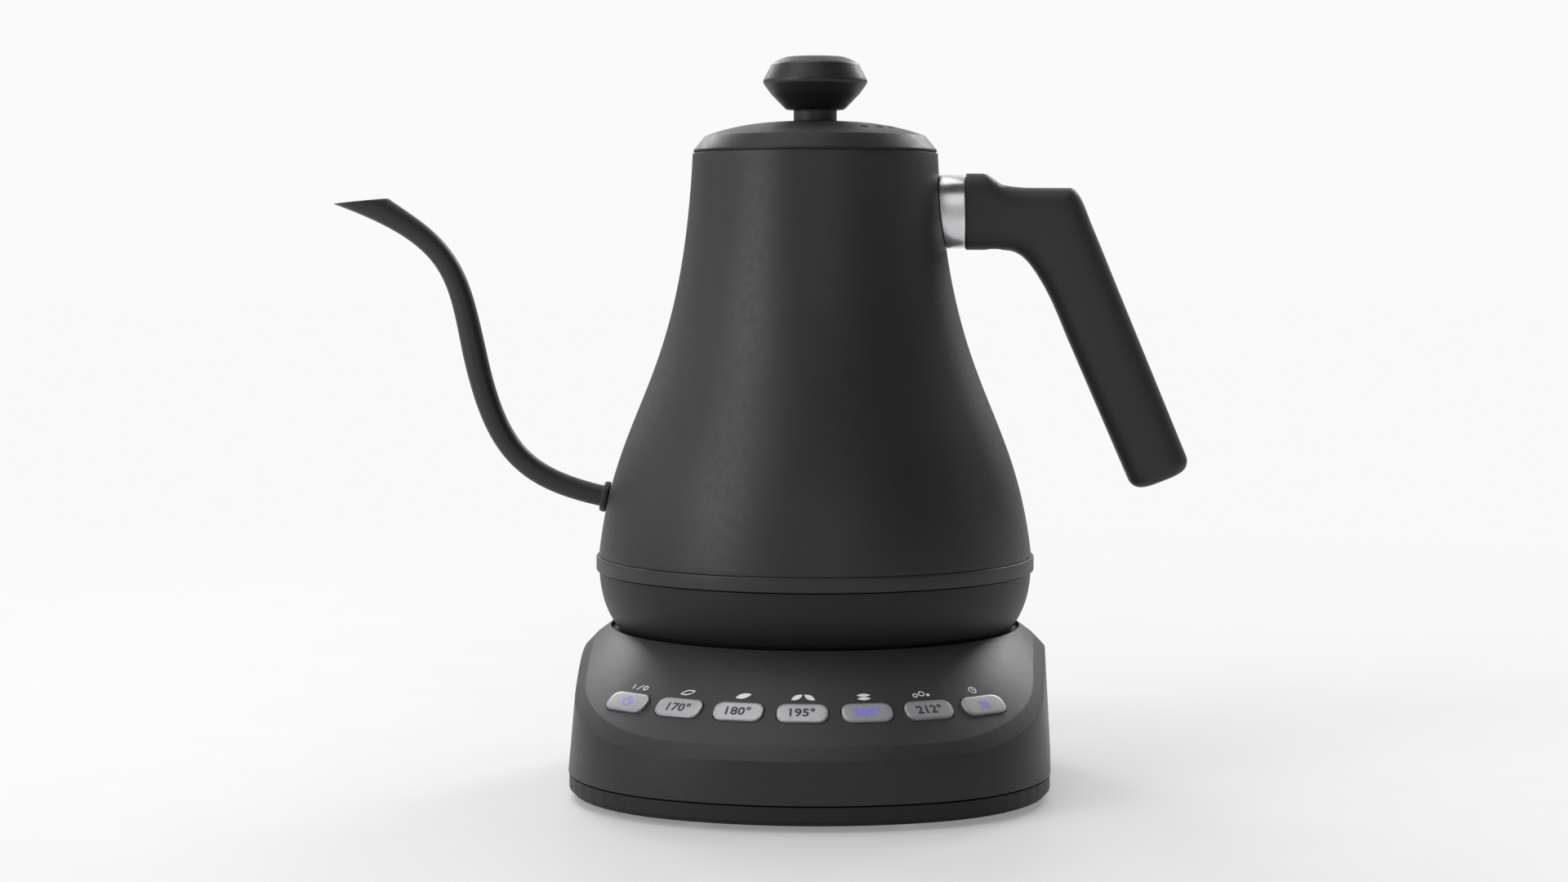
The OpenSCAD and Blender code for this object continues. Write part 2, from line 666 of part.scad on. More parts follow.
module base_connector() {
    color([0.2, 0.2, 0.22]) difference() {
        union() {
            disc(26, shelf_z - 2.2, shelf_z - gap);
            disc(22.6, 36, recess_z);
            disc(spigot_r, recess_z - 1, spigot_top_z);
        }
        disc(2.5, shelf_z - 4, 70, $fn = 48);
        ring(spigot_r + 2, spigot_r - 0.6, 55, 58);
    }
}

module connector_clamp() {
    color(steel) difference() {
        ring(34, 22.8, shelf_z - 4.2, shelf_z - 2.45);
        around(post_spots, 30) disc(1.4, 30, 60, $fn = 32);
    }
}

module clamp_screws() {
    color(steel) around(post_spots, 30) translate([0, 0, shelf_z - 6.05])
        screw(2.4, 1.8, 1.2, 4.6, $fn = 32);
}

module connector_wires() {
    color([0.55, 0.32, 0.12]) around(housing_spots, 12) {
        disc(1.3, board_z + 1.65, 35.95, $fn = 24);
        translate([-1, -3, 31]) cube([2, 6, 4.9]);
    }
}

// A conical strip under the panel, between two depths below its outer face
module panel_strip(depth0, depth1, r0, r1, span) {
    drop = function (r, depth) [r - depth * sin(panel_slope), panel_z(r) - depth * cos(panel_slope)];
    rotate([0, 0, -90 - span]) rotate_extrude(angle = 2 * span)
        polygon([drop(r0, depth0), drop(r1, depth0), drop(r1, depth1), drop(r0, depth1)]);
}
flex_depth = 9;
carrier_depth = flex_depth + 0.35;
carrier_bottom = carrier_depth + 2;
carrier_post_r = 92 + carrier_bottom * sin(panel_slope);
carrier_post_z = panel_z(carrier_post_r) - carrier_bottom * cos(panel_slope) - gap;

module keypad_flex() {
    color([0.75, 0.45, 0.12]) difference() {
        panel_strip(flex_depth, flex_depth + 0.3, 87, 99, 45);
        at(carrier_spots) disc(2.3, 0, 40, $fn = 32);
    }
}

module keypad_carrier() {
    color([0.3, 0.3, 0.32]) difference() {
        panel_strip(carrier_depth, carrier_bottom, 85.5, 100, 46);
        at(carrier_spots) disc(1.5, 0, 40, $fn = 24);
    }
}

module key_switches() {
    color([0.25, 0.25, 0.28]) for (i = [-3:3]) on_panel(i * key_pitch)
        translate([0, 0, -flex_depth + gap]) {
        translate([-3, -3, 0]) cube([6, 6, 1.5]);
        cylinder(r = 1.6, h = 2.05, $fn = 24);
    }
}

module key_leds() {
    color([0.5, 0.5, 1]) for (i = [-3:3]) on_panel(i * key_pitch) for (s = [-1, 1])
        translate([s * 5.4 - 0.8, -0.6, -flex_depth + gap]) cube([1.6, 1.2, 0.8]);
}

module carrier_screws() {
    color(steel) at(carrier_spots) translate([0, 0, carrier_post_z + 8.6]) rotate([180, 0, 0])
        screw(1.9, 1.4, 1, 11.5, $fn = 24);
}

module power_board() {
    color(board_green) difference() {
        translate([-43, -31, board_z]) cube([86, 66, 1.6]);
        at(board_spots) disc(1.5, 0, 40, $fn = 24);
        translate([cord_start_x, cord_drop_y, 0]) disc(cord_r + 3.4, 0, 40, $fn = 32);
    }
}

module relay() {
    color([0.1, 0.25, 0.5]) translate([-24, 22, board_z + 1.65]) rounded_block(19, 15, 13, 0.8);
}

module transformer() {
    color([0.75, 0.65, 0.2]) translate([24, -16, board_z + 1.65]) {
        rounded_block(22, 18, 4, 1);
        translate([0, 0, 3.9]) rounded_block(16, 18, 8, 1);
        translate([0, 0, 11.8]) rounded_block(22, 18, 3, 1);
    }
}

module film_capacitor() {
    color([0.7, 0.15, 0.12]) translate([-8, -23, board_z + 1.65]) rounded_block(18, 8, 13, 1.5);
}

module terminal_block() {
    color([0.1, 0.45, 0.25]) difference() {
        translate([22, 24, board_z + 1.65]) rounded_block(20, 10, 11, 0.6);
        for (i = [-1:1]) translate([22 + i * 6, 24, board_z + 8]) cylinder(r = 1.9, h = 10, $fn = 24);
    }
}

module buzzer() {
    color([0.12, 0.12, 0.12]) difference() {
        disc_at(3, 25, 6, board_z + 1.65, board_z + 9);
        disc_at(3, 25, 1, board_z + 7, board_z + 20);
    }
}
module disc_at(x, y, r, z0, z1) {
    translate([x, y, 0]) disc(r, z0, z1, $fn = 32);
}

module board_screws() {
    color(steel) at(board_spots) translate([0, 0, board_z + 3.1]) rotate([180, 0, 0])
        screw(2, 1.4, 1, 7, $fn = 24);
}

module ribbon_cable() {
    start = [flex_depth * sin(panel_slope) - 86.8, panel_z(87) - flex_depth * cos(panel_slope) + 0.1];
    over_edge = [-79.6, 33];
    mid = [-58, board_z + 8];
    land = [-33, board_z + 2];
    t = [0, 0.4];
    color([0.85, 0.85, 0.82]) translate([-7, 0, 0]) rotate([90, 0, 90]) linear_extrude(14)
        polygon([start, over_edge, mid, land, land + [5, -0.3], land + [5, 0.1], land + t + [0.1, 0],
            mid + t, over_edge + t, start + t]);
}

module base_screws() {
    color(steel) at(base_screw_spots) translate([0, 0, feet_h - 0.6]) screw(3, 2, 1.25, 14, $fn = 32);
}

module rubber_feet() {
    color([0.08, 0.08, 0.08]) at(foot_spots) union() {
        disc(4.55, 0.4, feet_h + 0.75, $fn = 48);
        disc(4.15, 0, 0.5, $fn = 48);
    }
}

// ---------- cord and plug ----------

drop_bend = 5;
cord_top_z = board_z + 2.8;
cord_drop_y = -drop_bend;
exit_turn = 50;
exit_bend = 20;
spiral_end = 180 * cord_halves + exit_turn;
spiral_end_r = spiral_r(spiral_end);
exit_centre = (spiral_end_r + exit_bend) * [-cos(exit_turn), sin(exit_turn)];
cord_exit_x = exit_centre.x + exit_bend;
tail_y = 96;
tail_bend = 18;
plug_z = 12.2;
rise_bend = 16;
rise_turn = acos(1 - (plug_z - cord_z) / (2 * rise_bend));
rise_x = cord_exit_x + tail_bend + 8;
plug_x = rise_x + 2 * rise_bend * sin(rise_turn);
plug_y = tail_y + tail_bend;
function spiral_r(a) = -cord_start_x + cord_pitch * a / 360;
function spiral_heading(a) =
    unit(spiral_r(a) * [sin(a), cos(a)] + cord_pitch / (2 * PI) * [-cos(a), sin(a)]);

// Stations along the cord: [place, level heading, climb angle]
cord_path = concat(
    [[[cord_start_x, cord_drop_y, cord_top_z], [0, 1], -90]],
    [for (b = [0:22.5:67.5])
        [[cord_start_x, -drop_bend * cos(b), cord_z + drop_bend * (1 - sin(b))], [0, 1], b - 90]],
    [for (a = [0:10:spiral_end])
        [[-spiral_r(a) * cos(a), spiral_r(a) * sin(a), cord_z], spiral_heading(a), 0]],
    [for (b = [exit_turn - 10:-10:0])
        [[exit_centre.x + exit_bend * cos(b), exit_centre.y - exit_bend * sin(b), cord_z],
            [sin(b), cos(b)], 0]],
    [for (c = [0:15:90]) [[cord_exit_x + tail_bend * (1 - cos(c)), tail_y + tail_bend * sin(c), cord_z],
        [sin(c), cos(c)], 0]],
    [for (k = [0:0.25:1]) let (d = k * rise_turn)
        [[rise_x + rise_bend * sin(d), plug_y, cord_z + rise_bend * (1 - cos(d))], [1, 0], d]],
    [for (k = [0.75:-0.25:0]) let (d = k * rise_turn)
        [[plug_x - rise_bend * sin(d), plug_y, plug_z - rise_bend * (1 - cos(d))], [1, 0], d]],
    [[[plug_x + 1.5, plug_y, plug_z], [1, 0], 0]]);

// A round section at one station
function cord_ring(s, m) = let (side = [s[1].y, -s[1].x, 0],
    up = [-sin(s[2]) * s[1].x, -sin(s[2]) * s[1].y, cos(s[2])])
    [for (j = [0:m - 1]) s[0] + cord_r * (cos(j * 360 / m) * side - sin(j * 360 / m) * up)];

module power_cord() {
    m = 12;
    color([0.07, 0.07, 0.07]) polyhedron(points = [for (s = cord_path) each cord_ring(s, m)],
        faces = skin_faces(len(cord_path), m));
}

module strain_relief() {
    color([0.1, 0.1, 0.1]) translate([cord_start_x, cord_drop_y, 0]) rotate_extrude($fn = 48)
        polygon([[cord_r + 0.4, well_ceiling_z - 0.3], [4.45, well_ceiling_z - 0.3],
            [4.45, well_ceiling_z + 1.65], [6, well_ceiling_z + 1.65], [5.4, well_ceiling_z + 5],
            [cord_r + gap, well_ceiling_z + 6.5], [cord_r + gap, well_ceiling_z + 1.4],
            [cord_r + 0.4, well_ceiling_z + 0.8]]);
}

module plug_body() {
    color([0.07, 0.07, 0.07]) difference() {
        translate([plug_x, plug_y, plug_z]) rotate([0, 90, 0]) union() {
            translate([0, 0, 0.1]) cylinder(r1 = cord_r + 1.2, r2 = 6.5, h = 14);
            translate([0, 0, 13]) rounded_block(20, 22, 3, 6);
            translate([0, 0, 15.5]) rounded_block(24, 27, 17, 6);
        }
        translate([plug_x - 1, plug_y, plug_z]) rotate([0, 90, 0])
            cylinder(r = cord_r + gap, h = 2.6, $fn = 32);
    }
}

module plug_pins() {
    face_x = plug_x + 32.5 + gap;
    color(brass) {
        for (s = [-1, 1]) translate([face_x, plug_y + 2.25, plug_z + s * 6.35 - 0.75]) cube([17, 6.3, 1.5]);
        translate([face_x, plug_y - 6.5, plug_z]) rotate([0, 90, 0]) cylinder(r = 2.4, h = 19, $fn = 32);
    }
}

// ---------- buttons ----------

// A key: its cap stands through the panel, and a flange behind the panel keeps it in
module button(place, tint) {
    proud = 0.7;
    back = base_wall + 1.6;
    stem_end = -flex_depth + 2.05 + 2 * gap + key_travel;
    color(tint) on_panel(place * key_pitch) union() {
        translate([0, 0, -back]) linear_extrude(back + proud) key_outline(0);
        translate([0, 0, -back]) linear_extrude(1) key_outline(0.8);
        translate([0, 0, stem_end]) cylinder(r = 1.8, h = 4, $fn = 32);
    }
}
satin = [0.55, 0.55, 0.57];
lit = [0.55, 0.52, 0.9];
module button_power() { button(-3, lit); }
module button_170() { button(-2, satin); }
module button_180() { button(-1, satin); }
module button_195() { button(0, satin); }
module button_205() { button(1, lit); }
module button_212() { button(2, satin); }
module button_hold() { button(3, lit); }

kettle_shell();
spout_tube();
spout_collar();
belt_ring();
floor_plate();
heat_spreader();
heating_element();
element_leads();
boil_dry_thermostats();
temperature_sensor();
sensor_seal();
kettle_connector();
connector_screws();
lower_housing();
housing_screws();
handle_bracket();
handle_ferrule();
handle_grip();
handle_screw();
lid_cover();
lid_liner();
lid_gasket();
knob_stem();
lid_knob();
knob_screw();
knob_washer();
contact_sleeve();
base_cover();
base_bottom();
base_connector();
connector_clamp();
clamp_screws();
connector_wires();
keypad_flex();
keypad_carrier();
key_switches();
key_leds();
carrier_screws();
power_board();
relay();
transformer();
film_capacitor();
terminal_block();
buzzer();
board_screws();
ribbon_cable();
base_screws();
rubber_feet();
power_cord();
strain_relief();
plug_body();
plug_pins();
button_power();
button_170();
button_180();
button_195();
button_205();
button_212();
button_hold();
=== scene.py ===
"""Looks for the gooseneck kettle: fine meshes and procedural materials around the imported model.

Lengths are in millimetres until a mesh is made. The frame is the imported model's: the origin is on the
kettle's axis at floor level, +Z is up, +X points to the handle and -Y to the keys.
"""
import json
import math

import bmesh
import bpy
import numpy as np
from mathutils import Matrix, Vector

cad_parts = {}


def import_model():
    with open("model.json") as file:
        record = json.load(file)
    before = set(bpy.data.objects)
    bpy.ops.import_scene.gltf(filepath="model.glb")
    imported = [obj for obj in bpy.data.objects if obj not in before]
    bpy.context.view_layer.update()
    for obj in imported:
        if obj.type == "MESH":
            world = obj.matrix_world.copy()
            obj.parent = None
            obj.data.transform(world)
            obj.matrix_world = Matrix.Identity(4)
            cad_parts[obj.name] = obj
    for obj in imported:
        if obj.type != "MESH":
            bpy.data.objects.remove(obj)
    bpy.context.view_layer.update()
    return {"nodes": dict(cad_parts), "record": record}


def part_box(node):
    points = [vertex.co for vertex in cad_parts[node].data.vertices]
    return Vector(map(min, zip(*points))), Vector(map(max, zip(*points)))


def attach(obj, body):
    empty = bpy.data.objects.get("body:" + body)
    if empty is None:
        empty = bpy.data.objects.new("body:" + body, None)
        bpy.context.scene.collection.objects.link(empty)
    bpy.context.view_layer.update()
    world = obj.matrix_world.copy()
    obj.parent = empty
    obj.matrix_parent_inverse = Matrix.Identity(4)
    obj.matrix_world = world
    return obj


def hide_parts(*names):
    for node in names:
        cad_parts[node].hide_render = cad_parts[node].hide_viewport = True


MM = 0.001
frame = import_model()
cad = frame["nodes"]
slot_of = {s["node"]: s["material_slot"] for s in frame["record"]["subparts"]}
slots = {m["slot"]: m for m in frame["record"]["materials"]}


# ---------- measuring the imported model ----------

def span(node):
    """Lowest and highest corner of a CAD node, in millimetres."""
    low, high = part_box(node)
    return np.array(low) / MM, np.array(high) / MM


def points_of(node):
    return np.array([v.co for v in cad[node].data.vertices]) / MM


def reach(node, z_low, z_high):
    """Largest distance from the kettle's axis among a node's points in a band of heights."""
    p = points_of(node)
    p = p[(p[:, 2] >= z_low) & (p[:, 2] <= z_high)]
    return float(np.hypot(p[:, 0], p[:, 1]).max())


RIM_Z = span("kettle_shell")[1][2]
BELLY_R = span("kettle_shell")[1][0]
MOUTH_R = reach("kettle_shell", RIM_Z - 0.01, RIM_Z + 0.01) + 0.3
BELT_LOW, BELT_HIGH = span("belt_ring")
BELT_R = BELT_HIGH[0]
BELLY_Z = BELT_HIGH[2] + 0.05
SKIRT_Z = BELT_LOW[2]
SKIRT_R = BELLY_R - 0.45
WALL = 0.9
HOUSING_Z = span("lower_housing")[0][2]
BASE_LOW, BASE_HIGH = span("base_cover")
BASE_FRONT_R = -BASE_LOW[1]
BASE_SIDE = BASE_HIGH[0]
RECESS_RIM_Z = BASE_HIGH[2]
RECESS_R = reach("base_cover", RECESS_RIM_Z - 0.02, RECESS_RIM_Z)
RECESS_Z = HOUSING_Z - 0.05
SEAM_Z = 8.2
PANEL_SLOPE = math.radians(36.5)
FRONT_SPAN = math.radians(22)
SIDE_TAPER = math.radians(2)
KEY_RING_R = 92.7
KEY_PITCH = math.radians(12.6)


# ---------- curves and outlines ----------

def bezier(p, t):
    p = np.array(p, float)
    t = np.atleast_1d(t)[:, None]
    return (1 - t) ** 3 * p[0] + 3 * t * (1 - t) ** 2 * p[1] + 3 * t * t * (1 - t) * p[2] + t ** 3 * p[3]


def heading(p, t):
    p = np.array(p, float)
    t = np.atleast_1d(t)[:, None]
    d = (1 - t) ** 2 * (p[1] - p[0]) + 2 * t * (1 - t) * (p[2] - p[1]) + t * t * (p[3] - p[2])
    return d / np.linalg.norm(d, axis=1)[:, None]


def offset_curve(p, inset, steps):
    """Points of a profile curve, moved inwards by a distance."""
    t = np.linspace(0, 1, steps + 1)
    d = heading(p, t)
    return bezier(p, t) + inset * np.stack([d[:, 1], -d[:, 0]], 1)


def fillet(points, radii, segments=5):
    """A polyline with its corners rounded. A radius of 0 leaves that corner as one point."""
    out = []
    last = len(points) - 1
    for i, (p, r) in enumerate(zip(points, radii)):
        p = np.array(p, float)
        if r == 0 or i in (0, last):
            out.append(p)
            continue
        a = np.array(points[i - 1], float) - p
        b = np.array(points[i + 1], float) - p
        la, lb = np.linalg.norm(a), np.linalg.norm(b)
        a, b = a / la, b / lb
        half = math.acos(max(-1, min(1, float(a @ b)))) / 2
        cut = min(r / math.tan(half), 0.49 * la, 0.49 * lb)
        start, end = p + a * cut, p + b * cut
        for k in range(segments + 1):
            t = k / segments
            out.append((1 - t) ** 2 * start + 2 * t * (1 - t) * p + t * t * end)
    return np.array(out)


def smooth_through(knots, points, at):
    """Smooth curve through points that never overshoots them (monotone cubic in each coordinate)."""
    knots, points = np.array(knots, float), np.array(points, float)
    h = np.diff(knots)[:, None]
    slope = np.diff(points, axis=0) / h
    m = np.zeros_like(points)
    m[0], m[-1] = slope[0], slope[-1]
    both = slope[:-1] * slope[1:] > 0
    w1, w2 = 2 * h[1:] + h[:-1], h[1:] + 2 * h[:-1]
    safe_a = np.where(both, slope[:-1], 1)
    safe_b = np.where(both, slope[1:], 1)
    m[1:-1] = np.where(both, (w1 + w2) / (w1 / safe_a + w2 / safe_b), 0)
    i = np.clip(np.searchsorted(knots, at, "right") - 1, 0, len(knots) - 2)
    t = ((at - knots[i]) / h[i, 0])[:, None]
    return ((2 * t ** 3 - 3 * t ** 2 + 1) * points[i] + (t ** 3 - 2 * t ** 2 + t) * h[i] * m[i]
            + (-2 * t ** 3 + 3 * t ** 2) * points[i + 1] + (t ** 3 - t ** 2) * h[i] * m[i + 1])


def oval(a, b, power, steps):
    """A closed superellipse with half sizes a and b."""
    t = np.arange(steps) * 2 * math.pi / steps
    c, s = np.cos(t), np.sin(t)
    return np.stack([a * np.sign(c) * abs(c) ** (2 / power), b * np.sign(s) * abs(s) ** (2 / power)], 1)


def rounded_rect(w, d, r):
    """A closed rectangle with rounded corners, counter-clockwise."""
    per_corner = 8
    r = max(0.02, min(r, w / 2 - 0.01, d / 2 - 0.01))
    out = []
    for quarter, (sx, sy) in enumerate([(1, 1), (-1, 1), (-1, -1), (1, -1)]):
        for k in range(per_corner + 1):
            a = math.pi / 2 * (quarter + k / per_corner)
            out.append([sx * (w / 2 - r) + r * math.cos(a), sy * (d / 2 - r) + r * math.sin(a)])
    return np.array(out)


# ---------- mesh building ----------

def add_object(name, data):
    obj = bpy.data.objects.new(name, data)
    bpy.context.scene.collection.objects.link(obj)
    return obj


def mesh_of(name, points, faces):
    """A mesh from points in millimetres, with its faces turned outwards."""
    mesh = bpy.data.meshes.new(name)
    mesh.from_pydata((np.array(points, float) * MM).tolist(), [], [list(f) for f in faces])
    bm = bmesh.new()
    bm.from_mesh(mesh)
    bmesh.ops.remove_doubles(bm, verts=bm.verts, dist=1e-7)
    bmesh.ops.recalc_face_normals(bm, faces=bm.faces)
    bm.to_mesh(mesh)
    bm.free()
    return mesh


def make(name, points, faces, body, material, node, sharp=35):
    """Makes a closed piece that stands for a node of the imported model, and rides it on a body."""
    obj = add_object(name, mesh_of(name, points, faces))
    obj.data.materials.append(material)
    smooth(obj, sharp)
    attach(obj, body)
    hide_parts(node)
    return obj


def smooth(obj, sharp):
    """Shades a piece smooth, except along edges sharper than an angle in degrees."""
    obj.data.shade_smooth()
    obj.data.set_sharp_from_angle(angle=math.radians(sharp))


def loft_faces(rings, m, closed_path=False):
    """Faces between rings of m points. An open path gets both its ends closed."""
    faces = []
    for i in range(rings if closed_path else rings - 1):
        a, b = i * m, (i + 1) % rings * m
        faces += [(a + j, a + (j + 1) % m, b + (j + 1) % m, b + j) for j in range(m)]
    if not closed_path:
        faces += [tuple(range(m))[::-1], tuple((rings - 1) * m + j for j in range(m))]
    return faces


def revolve(profile, steps=160):
    """Points and faces of a profile turned about Z. Both ends are on the axis, or the profile is a loop."""
    profile = np.array(profile, float)
    on_axis = profile[0][0] < 1e-6 and profile[-1][0] < 1e-6
    turn = np.arange(steps) * 2 * math.pi / steps
    inner = profile[1:-1] if on_axis else profile
    points = [[r * math.cos(a), r * math.sin(a), z] for r, z in inner for a in turn]
    if not on_axis:
        return points, loft_faces(len(inner), steps, closed_path=True)
    faces = loft_faces(len(inner), steps)[:-2]
    first, last = len(points), len(points) + 1
    points += [[0, 0, profile[0][1]], [0, 0, profile[-1][1]]]
    end = (len(inner) - 1) * steps
    for j in range(steps):
        k = (j + 1) % steps
        faces += [(first, k, j), (last, end + j, end + k)]
    return points, faces


def moved(points, matrix):
    return [list(matrix @ Vector(p)) for p in points]


def cut(obj, cutters):
    """Subtracts closed shapes, given as (points in millimetres, faces), from a piece."""
    for points, faces in cutters:
        mesh = mesh_of("cutter", points, faces)
        tool = add_object("cutter", mesh)
        modifier = obj.modifiers.new("cut", "BOOLEAN")
        modifier.object = tool
        modifier.operation = "DIFFERENCE"
        modifier.solver = "EXACT"
        bake(obj)
        bpy.data.objects.remove(tool)
        bpy.data.meshes.remove(mesh)


def bake(obj):
    """Applies a piece's modifiers."""
    bpy.context.view_layer.update()
    graph = bpy.context.evaluated_depsgraph_get()
    mesh = bpy.data.meshes.new_from_object(obj.evaluated_get(graph))
    old = obj.data
    obj.modifiers.clear()
    obj.data = mesh
    mesh.name = obj.name
    bpy.data.meshes.remove(old)


def on_circle(r, degrees):
    return [(r * math.cos(a), r * math.sin(a)) for a in np.radians(degrees)]


def rod(r, z0, z1, at=(0, 0), steps=40):
    """A plain cylinder, as a cutter."""
    points, faces = revolve([[0, z0], [r, z0], [r, z1], [0, z1]], steps)
    return [[x + at[0], y + at[1], z] for x, y, z in points], faces


# ---------- materials ----------

class NodeTree:
    """The shader nodes of a material or a world."""

    def __init__(self, owner):
        owner.use_nodes = True
        self.nodes, self.links = owner.node_tree.nodes, owner.node_tree.links

    def feed(self, socket, value):
        """Links a socket to another one, or sets it to a number, a vector or a colour."""
        if isinstance(value, bpy.types.NodeSocket):
            self.links.new(value, socket)
        else:
            socket.default_value = (*value, 1) if socket.type == "RGBA" else value

    def node(self, kind, **inputs):
        """Adds a node. Names are its properties, or else its inputs, with _ for a space."""
        made = self.nodes.new("ShaderNode" + kind)
        for key, value in inputs.items():
            if hasattr(made, key):
                setattr(made, key, value)
            else:
                self.feed(made.inputs[key.replace("_", " ")], value)
        return made

    def range(self, value, low, high, at=(0.3, 0.7), kind="LINEAR"):
        """Maps a value to a number between low and high."""
        mapped = self.node("MapRange", interpolation_type=kind, Value=value, From_Min=at[0], From_Max=at[1],
                           To_Min=low, To_Max=high)
        return mapped.outputs["Result"]


class Shader(NodeTree):
    """A node material that starts from a Principled shader and samples in object space."""

    def __init__(self, name):
        self.mat = bpy.data.materials.new(name)
        super().__init__(self.mat)
        self.principled = self.nodes["Principled BSDF"]
        self.place = self.node("TexCoord").outputs["Object"]

    def noise(self, size_mm, detail=2.0, stretch=(1, 1, 1), roughness=0.5):
        """A noise value with features of about size_mm, stretched along any axis."""
        scaled = self.node("Mapping", Vector=self.place, Scale=[1000 / size_mm / s for s in stretch])
        noise = self.node("TexNoise", Vector=scaled.outputs["Vector"], Scale=1.0, Detail=detail,
                          Roughness=roughness)
        return noise.outputs["Fac"]

    def cells(self, size_mm):
        return self.node("TexVoronoi", Vector=self.place, Scale=1000 / size_mm).outputs["Distance"]

    def ramp(self, value, low, high, at=(0.3, 0.7)):
        """Maps a value to a colour between low and high."""
        ramp = self.node("ValToRGB", Fac=value)
        for element, place, colour in zip(ramp.color_ramp.elements, at, (low, high)):
            element.position = place
            element.color = (*colour, 1)
        return ramp.outputs["Color"]

    def math(self, operation, a, b=0.0):
        made = self.node("Math", operation=operation)
        self.feed(made.inputs[0], a)
        self.feed(made.inputs[1], b)
        return made.outputs[0]

    def edges(self, radius_mm):
        """1 on edges and corners, 0 on open faces."""
        bevel = self.node("Bevel", samples=4, Radius=radius_mm * MM)
        geometry = self.node("NewGeometry")
        dot = self.node("VectorMath", operation="DOT_PRODUCT")
        self.links.new(bevel.outputs["Normal"], dot.inputs[0])
        self.links.new(geometry.outputs["Normal"], dot.inputs[1])
        return self.range(dot.outputs["Value"], 1, 0, at=(0.75, 0.995))

    def bump(self, *layers, edge_mm=0.0):
        """Stacks bump layers, each (height socket, depth in millimetres), on softened edges."""
        normal = self.node("Bevel", samples=4, Radius=edge_mm * MM).outputs["Normal"] if edge_mm else None
        for height, depth in layers:
            bump = self.node("Bump", Height=height, Strength=1.0, Distance=depth * MM)
            if normal:
                self.links.new(normal, bump.inputs["Normal"])
            normal = bump.outputs["Normal"]
        self.links.new(normal, self.principled.inputs["Normal"])

    def set(self, **inputs):
        for key, value in inputs.items():
            self.feed(self.principled.inputs[key.replace("_", " ")], value)

    def blend(self, factor, a, b):
        mix = self.node("Mix", data_type="RGBA")
        for socket, value in zip((mix.inputs["Factor"], mix.inputs[6], mix.inputs[7]), (factor, a, b)):
            self.feed(socket, value)
        return mix.outputs[2]


def shade(colour, factor):
    return tuple(min(1.0, c * factor) for c in colour)


def powder_coat(name, colour, roughness=0.46, specular=0.5):
    """Matte baked paint: a fine orange peel, faint mottling and a painted highlight: edges painted a little
    lighter.
    """
    grain, depth = 0.28, 0.012
    s = Shader(name)
    mottle = s.noise(14, detail=3)
    base = s.ramp(mottle, shade(colour, 0.93), shade(colour, 1.08))
    # Painted highlight: edges and corners are blended towards a lighter colour
    base = s.blend(s.math("MULTIPLY", s.edges(0.35), 0.35), base, shade(colour, 2.0))
    s.set(Base_Color=base, Specular_IOR_Level=specular)
    s.set(Roughness=s.range(s.noise(2.5), roughness - 0.03, roughness + 0.04))
    s.bump((s.noise(grain, detail=3), depth), (s.noise(grain * 5), depth * 1.2), edge_mm=0.12)
    return s.mat


def spark_plastic(name, colour, grain=0.32, depth=0.03, roughness=0.5, edge=0.3, specular=0.5):
    """Moulded plastic from a spark-eroded tool: small pits, a soft sheen and a painted highlight: edges
    painted lighter.
    """
    s = Shader(name)
    pits = s.noise(grain, detail=4, roughness=0.6)
    base = s.ramp(pits, shade(colour, 0.85), shade(colour, 1.15))
    # Painted highlight: edges and corners are blended towards a lighter colour
    base = s.blend(s.math("MULTIPLY", s.edges(edge * 1.5), 0.3), base, shade(colour, 1.9))
    s.set(Base_Color=base, Roughness=s.range(pits, roughness - 0.07, roughness + 0.07))
    s.set(Specular_IOR_Level=specular)
    s.bump((pits, depth), (s.noise(6), depth), edge_mm=edge)
    return s.mat


def grained_metal(name, colour, roughness=0.25, stretch=(1, 1, 40), grain=0.12, depth=0.004):
    """Metal with a fine directional grain and faint smudges."""
    s = Shader(name)
    lines = s.noise(grain, detail=2, stretch=stretch)
    base = s.ramp(s.noise(9), shade(colour, 0.9), shade(colour, 1.05))
    smudge = s.math("ADD", s.range(s.noise(7, detail=4), 0, 0.08), s.range(lines, -0.03, 0.05))
    s.set(Base_Color=base, Metallic=1.0, Roughness=s.math("ADD", smudge, roughness))
    s.bump((lines, depth), edge_mm=0.15)
    return s.mat


def rubber(name, colour, roughness=0.6):
    s = Shader(name)
    grain = s.noise(0.5, detail=4)
    dust = s.ramp(s.noise(11, detail=4), shade(colour, 0.9), shade(colour, 1.25), at=(0.35, 0.75))
    s.set(Base_Color=dust, Roughness=s.range(grain, roughness - 0.06, roughness + 0.08))
    s.bump((grain, 0.03), edge_mm=0.3)
    return s.mat


def glossy_plastic(name, colour):
    s, roughness = Shader(name), 0.28
    base = s.ramp(s.noise(3, detail=3), shade(colour, 0.88), shade(colour, 1.1))
    s.set(Base_Color=base, Roughness=s.range(s.noise(1.5), roughness, roughness + 0.1))
    s.bump((s.noise(0.8), 0.01), edge_mm=0.25)
    return s.mat


def circuit_board(name, colour):
    """Green solder mask over copper tracks, with a faint weave of the laminate under it."""
    s = Shader(name)
    bricks = s.node("TexBrick", Vector=s.place, Scale=190.0, offset=0.37, Mortar_Size=0.03, Color1=colour,
                    Color2=shade(colour, 1.35), Mortar=shade(colour, 0.6))
    weave = s.noise(0.4, detail=1, stretch=(6, 1, 1))
    mask = s.blend(s.range(weave, 0.0, 0.35), bricks.outputs["Color"], shade(colour, 0.5))
    s.set(Base_Color=mask, Roughness=0.32)
    s.bump((bricks.outputs["Fac"], 0.03), (weave, 0.008), edge_mm=0.1)
    return s.mat


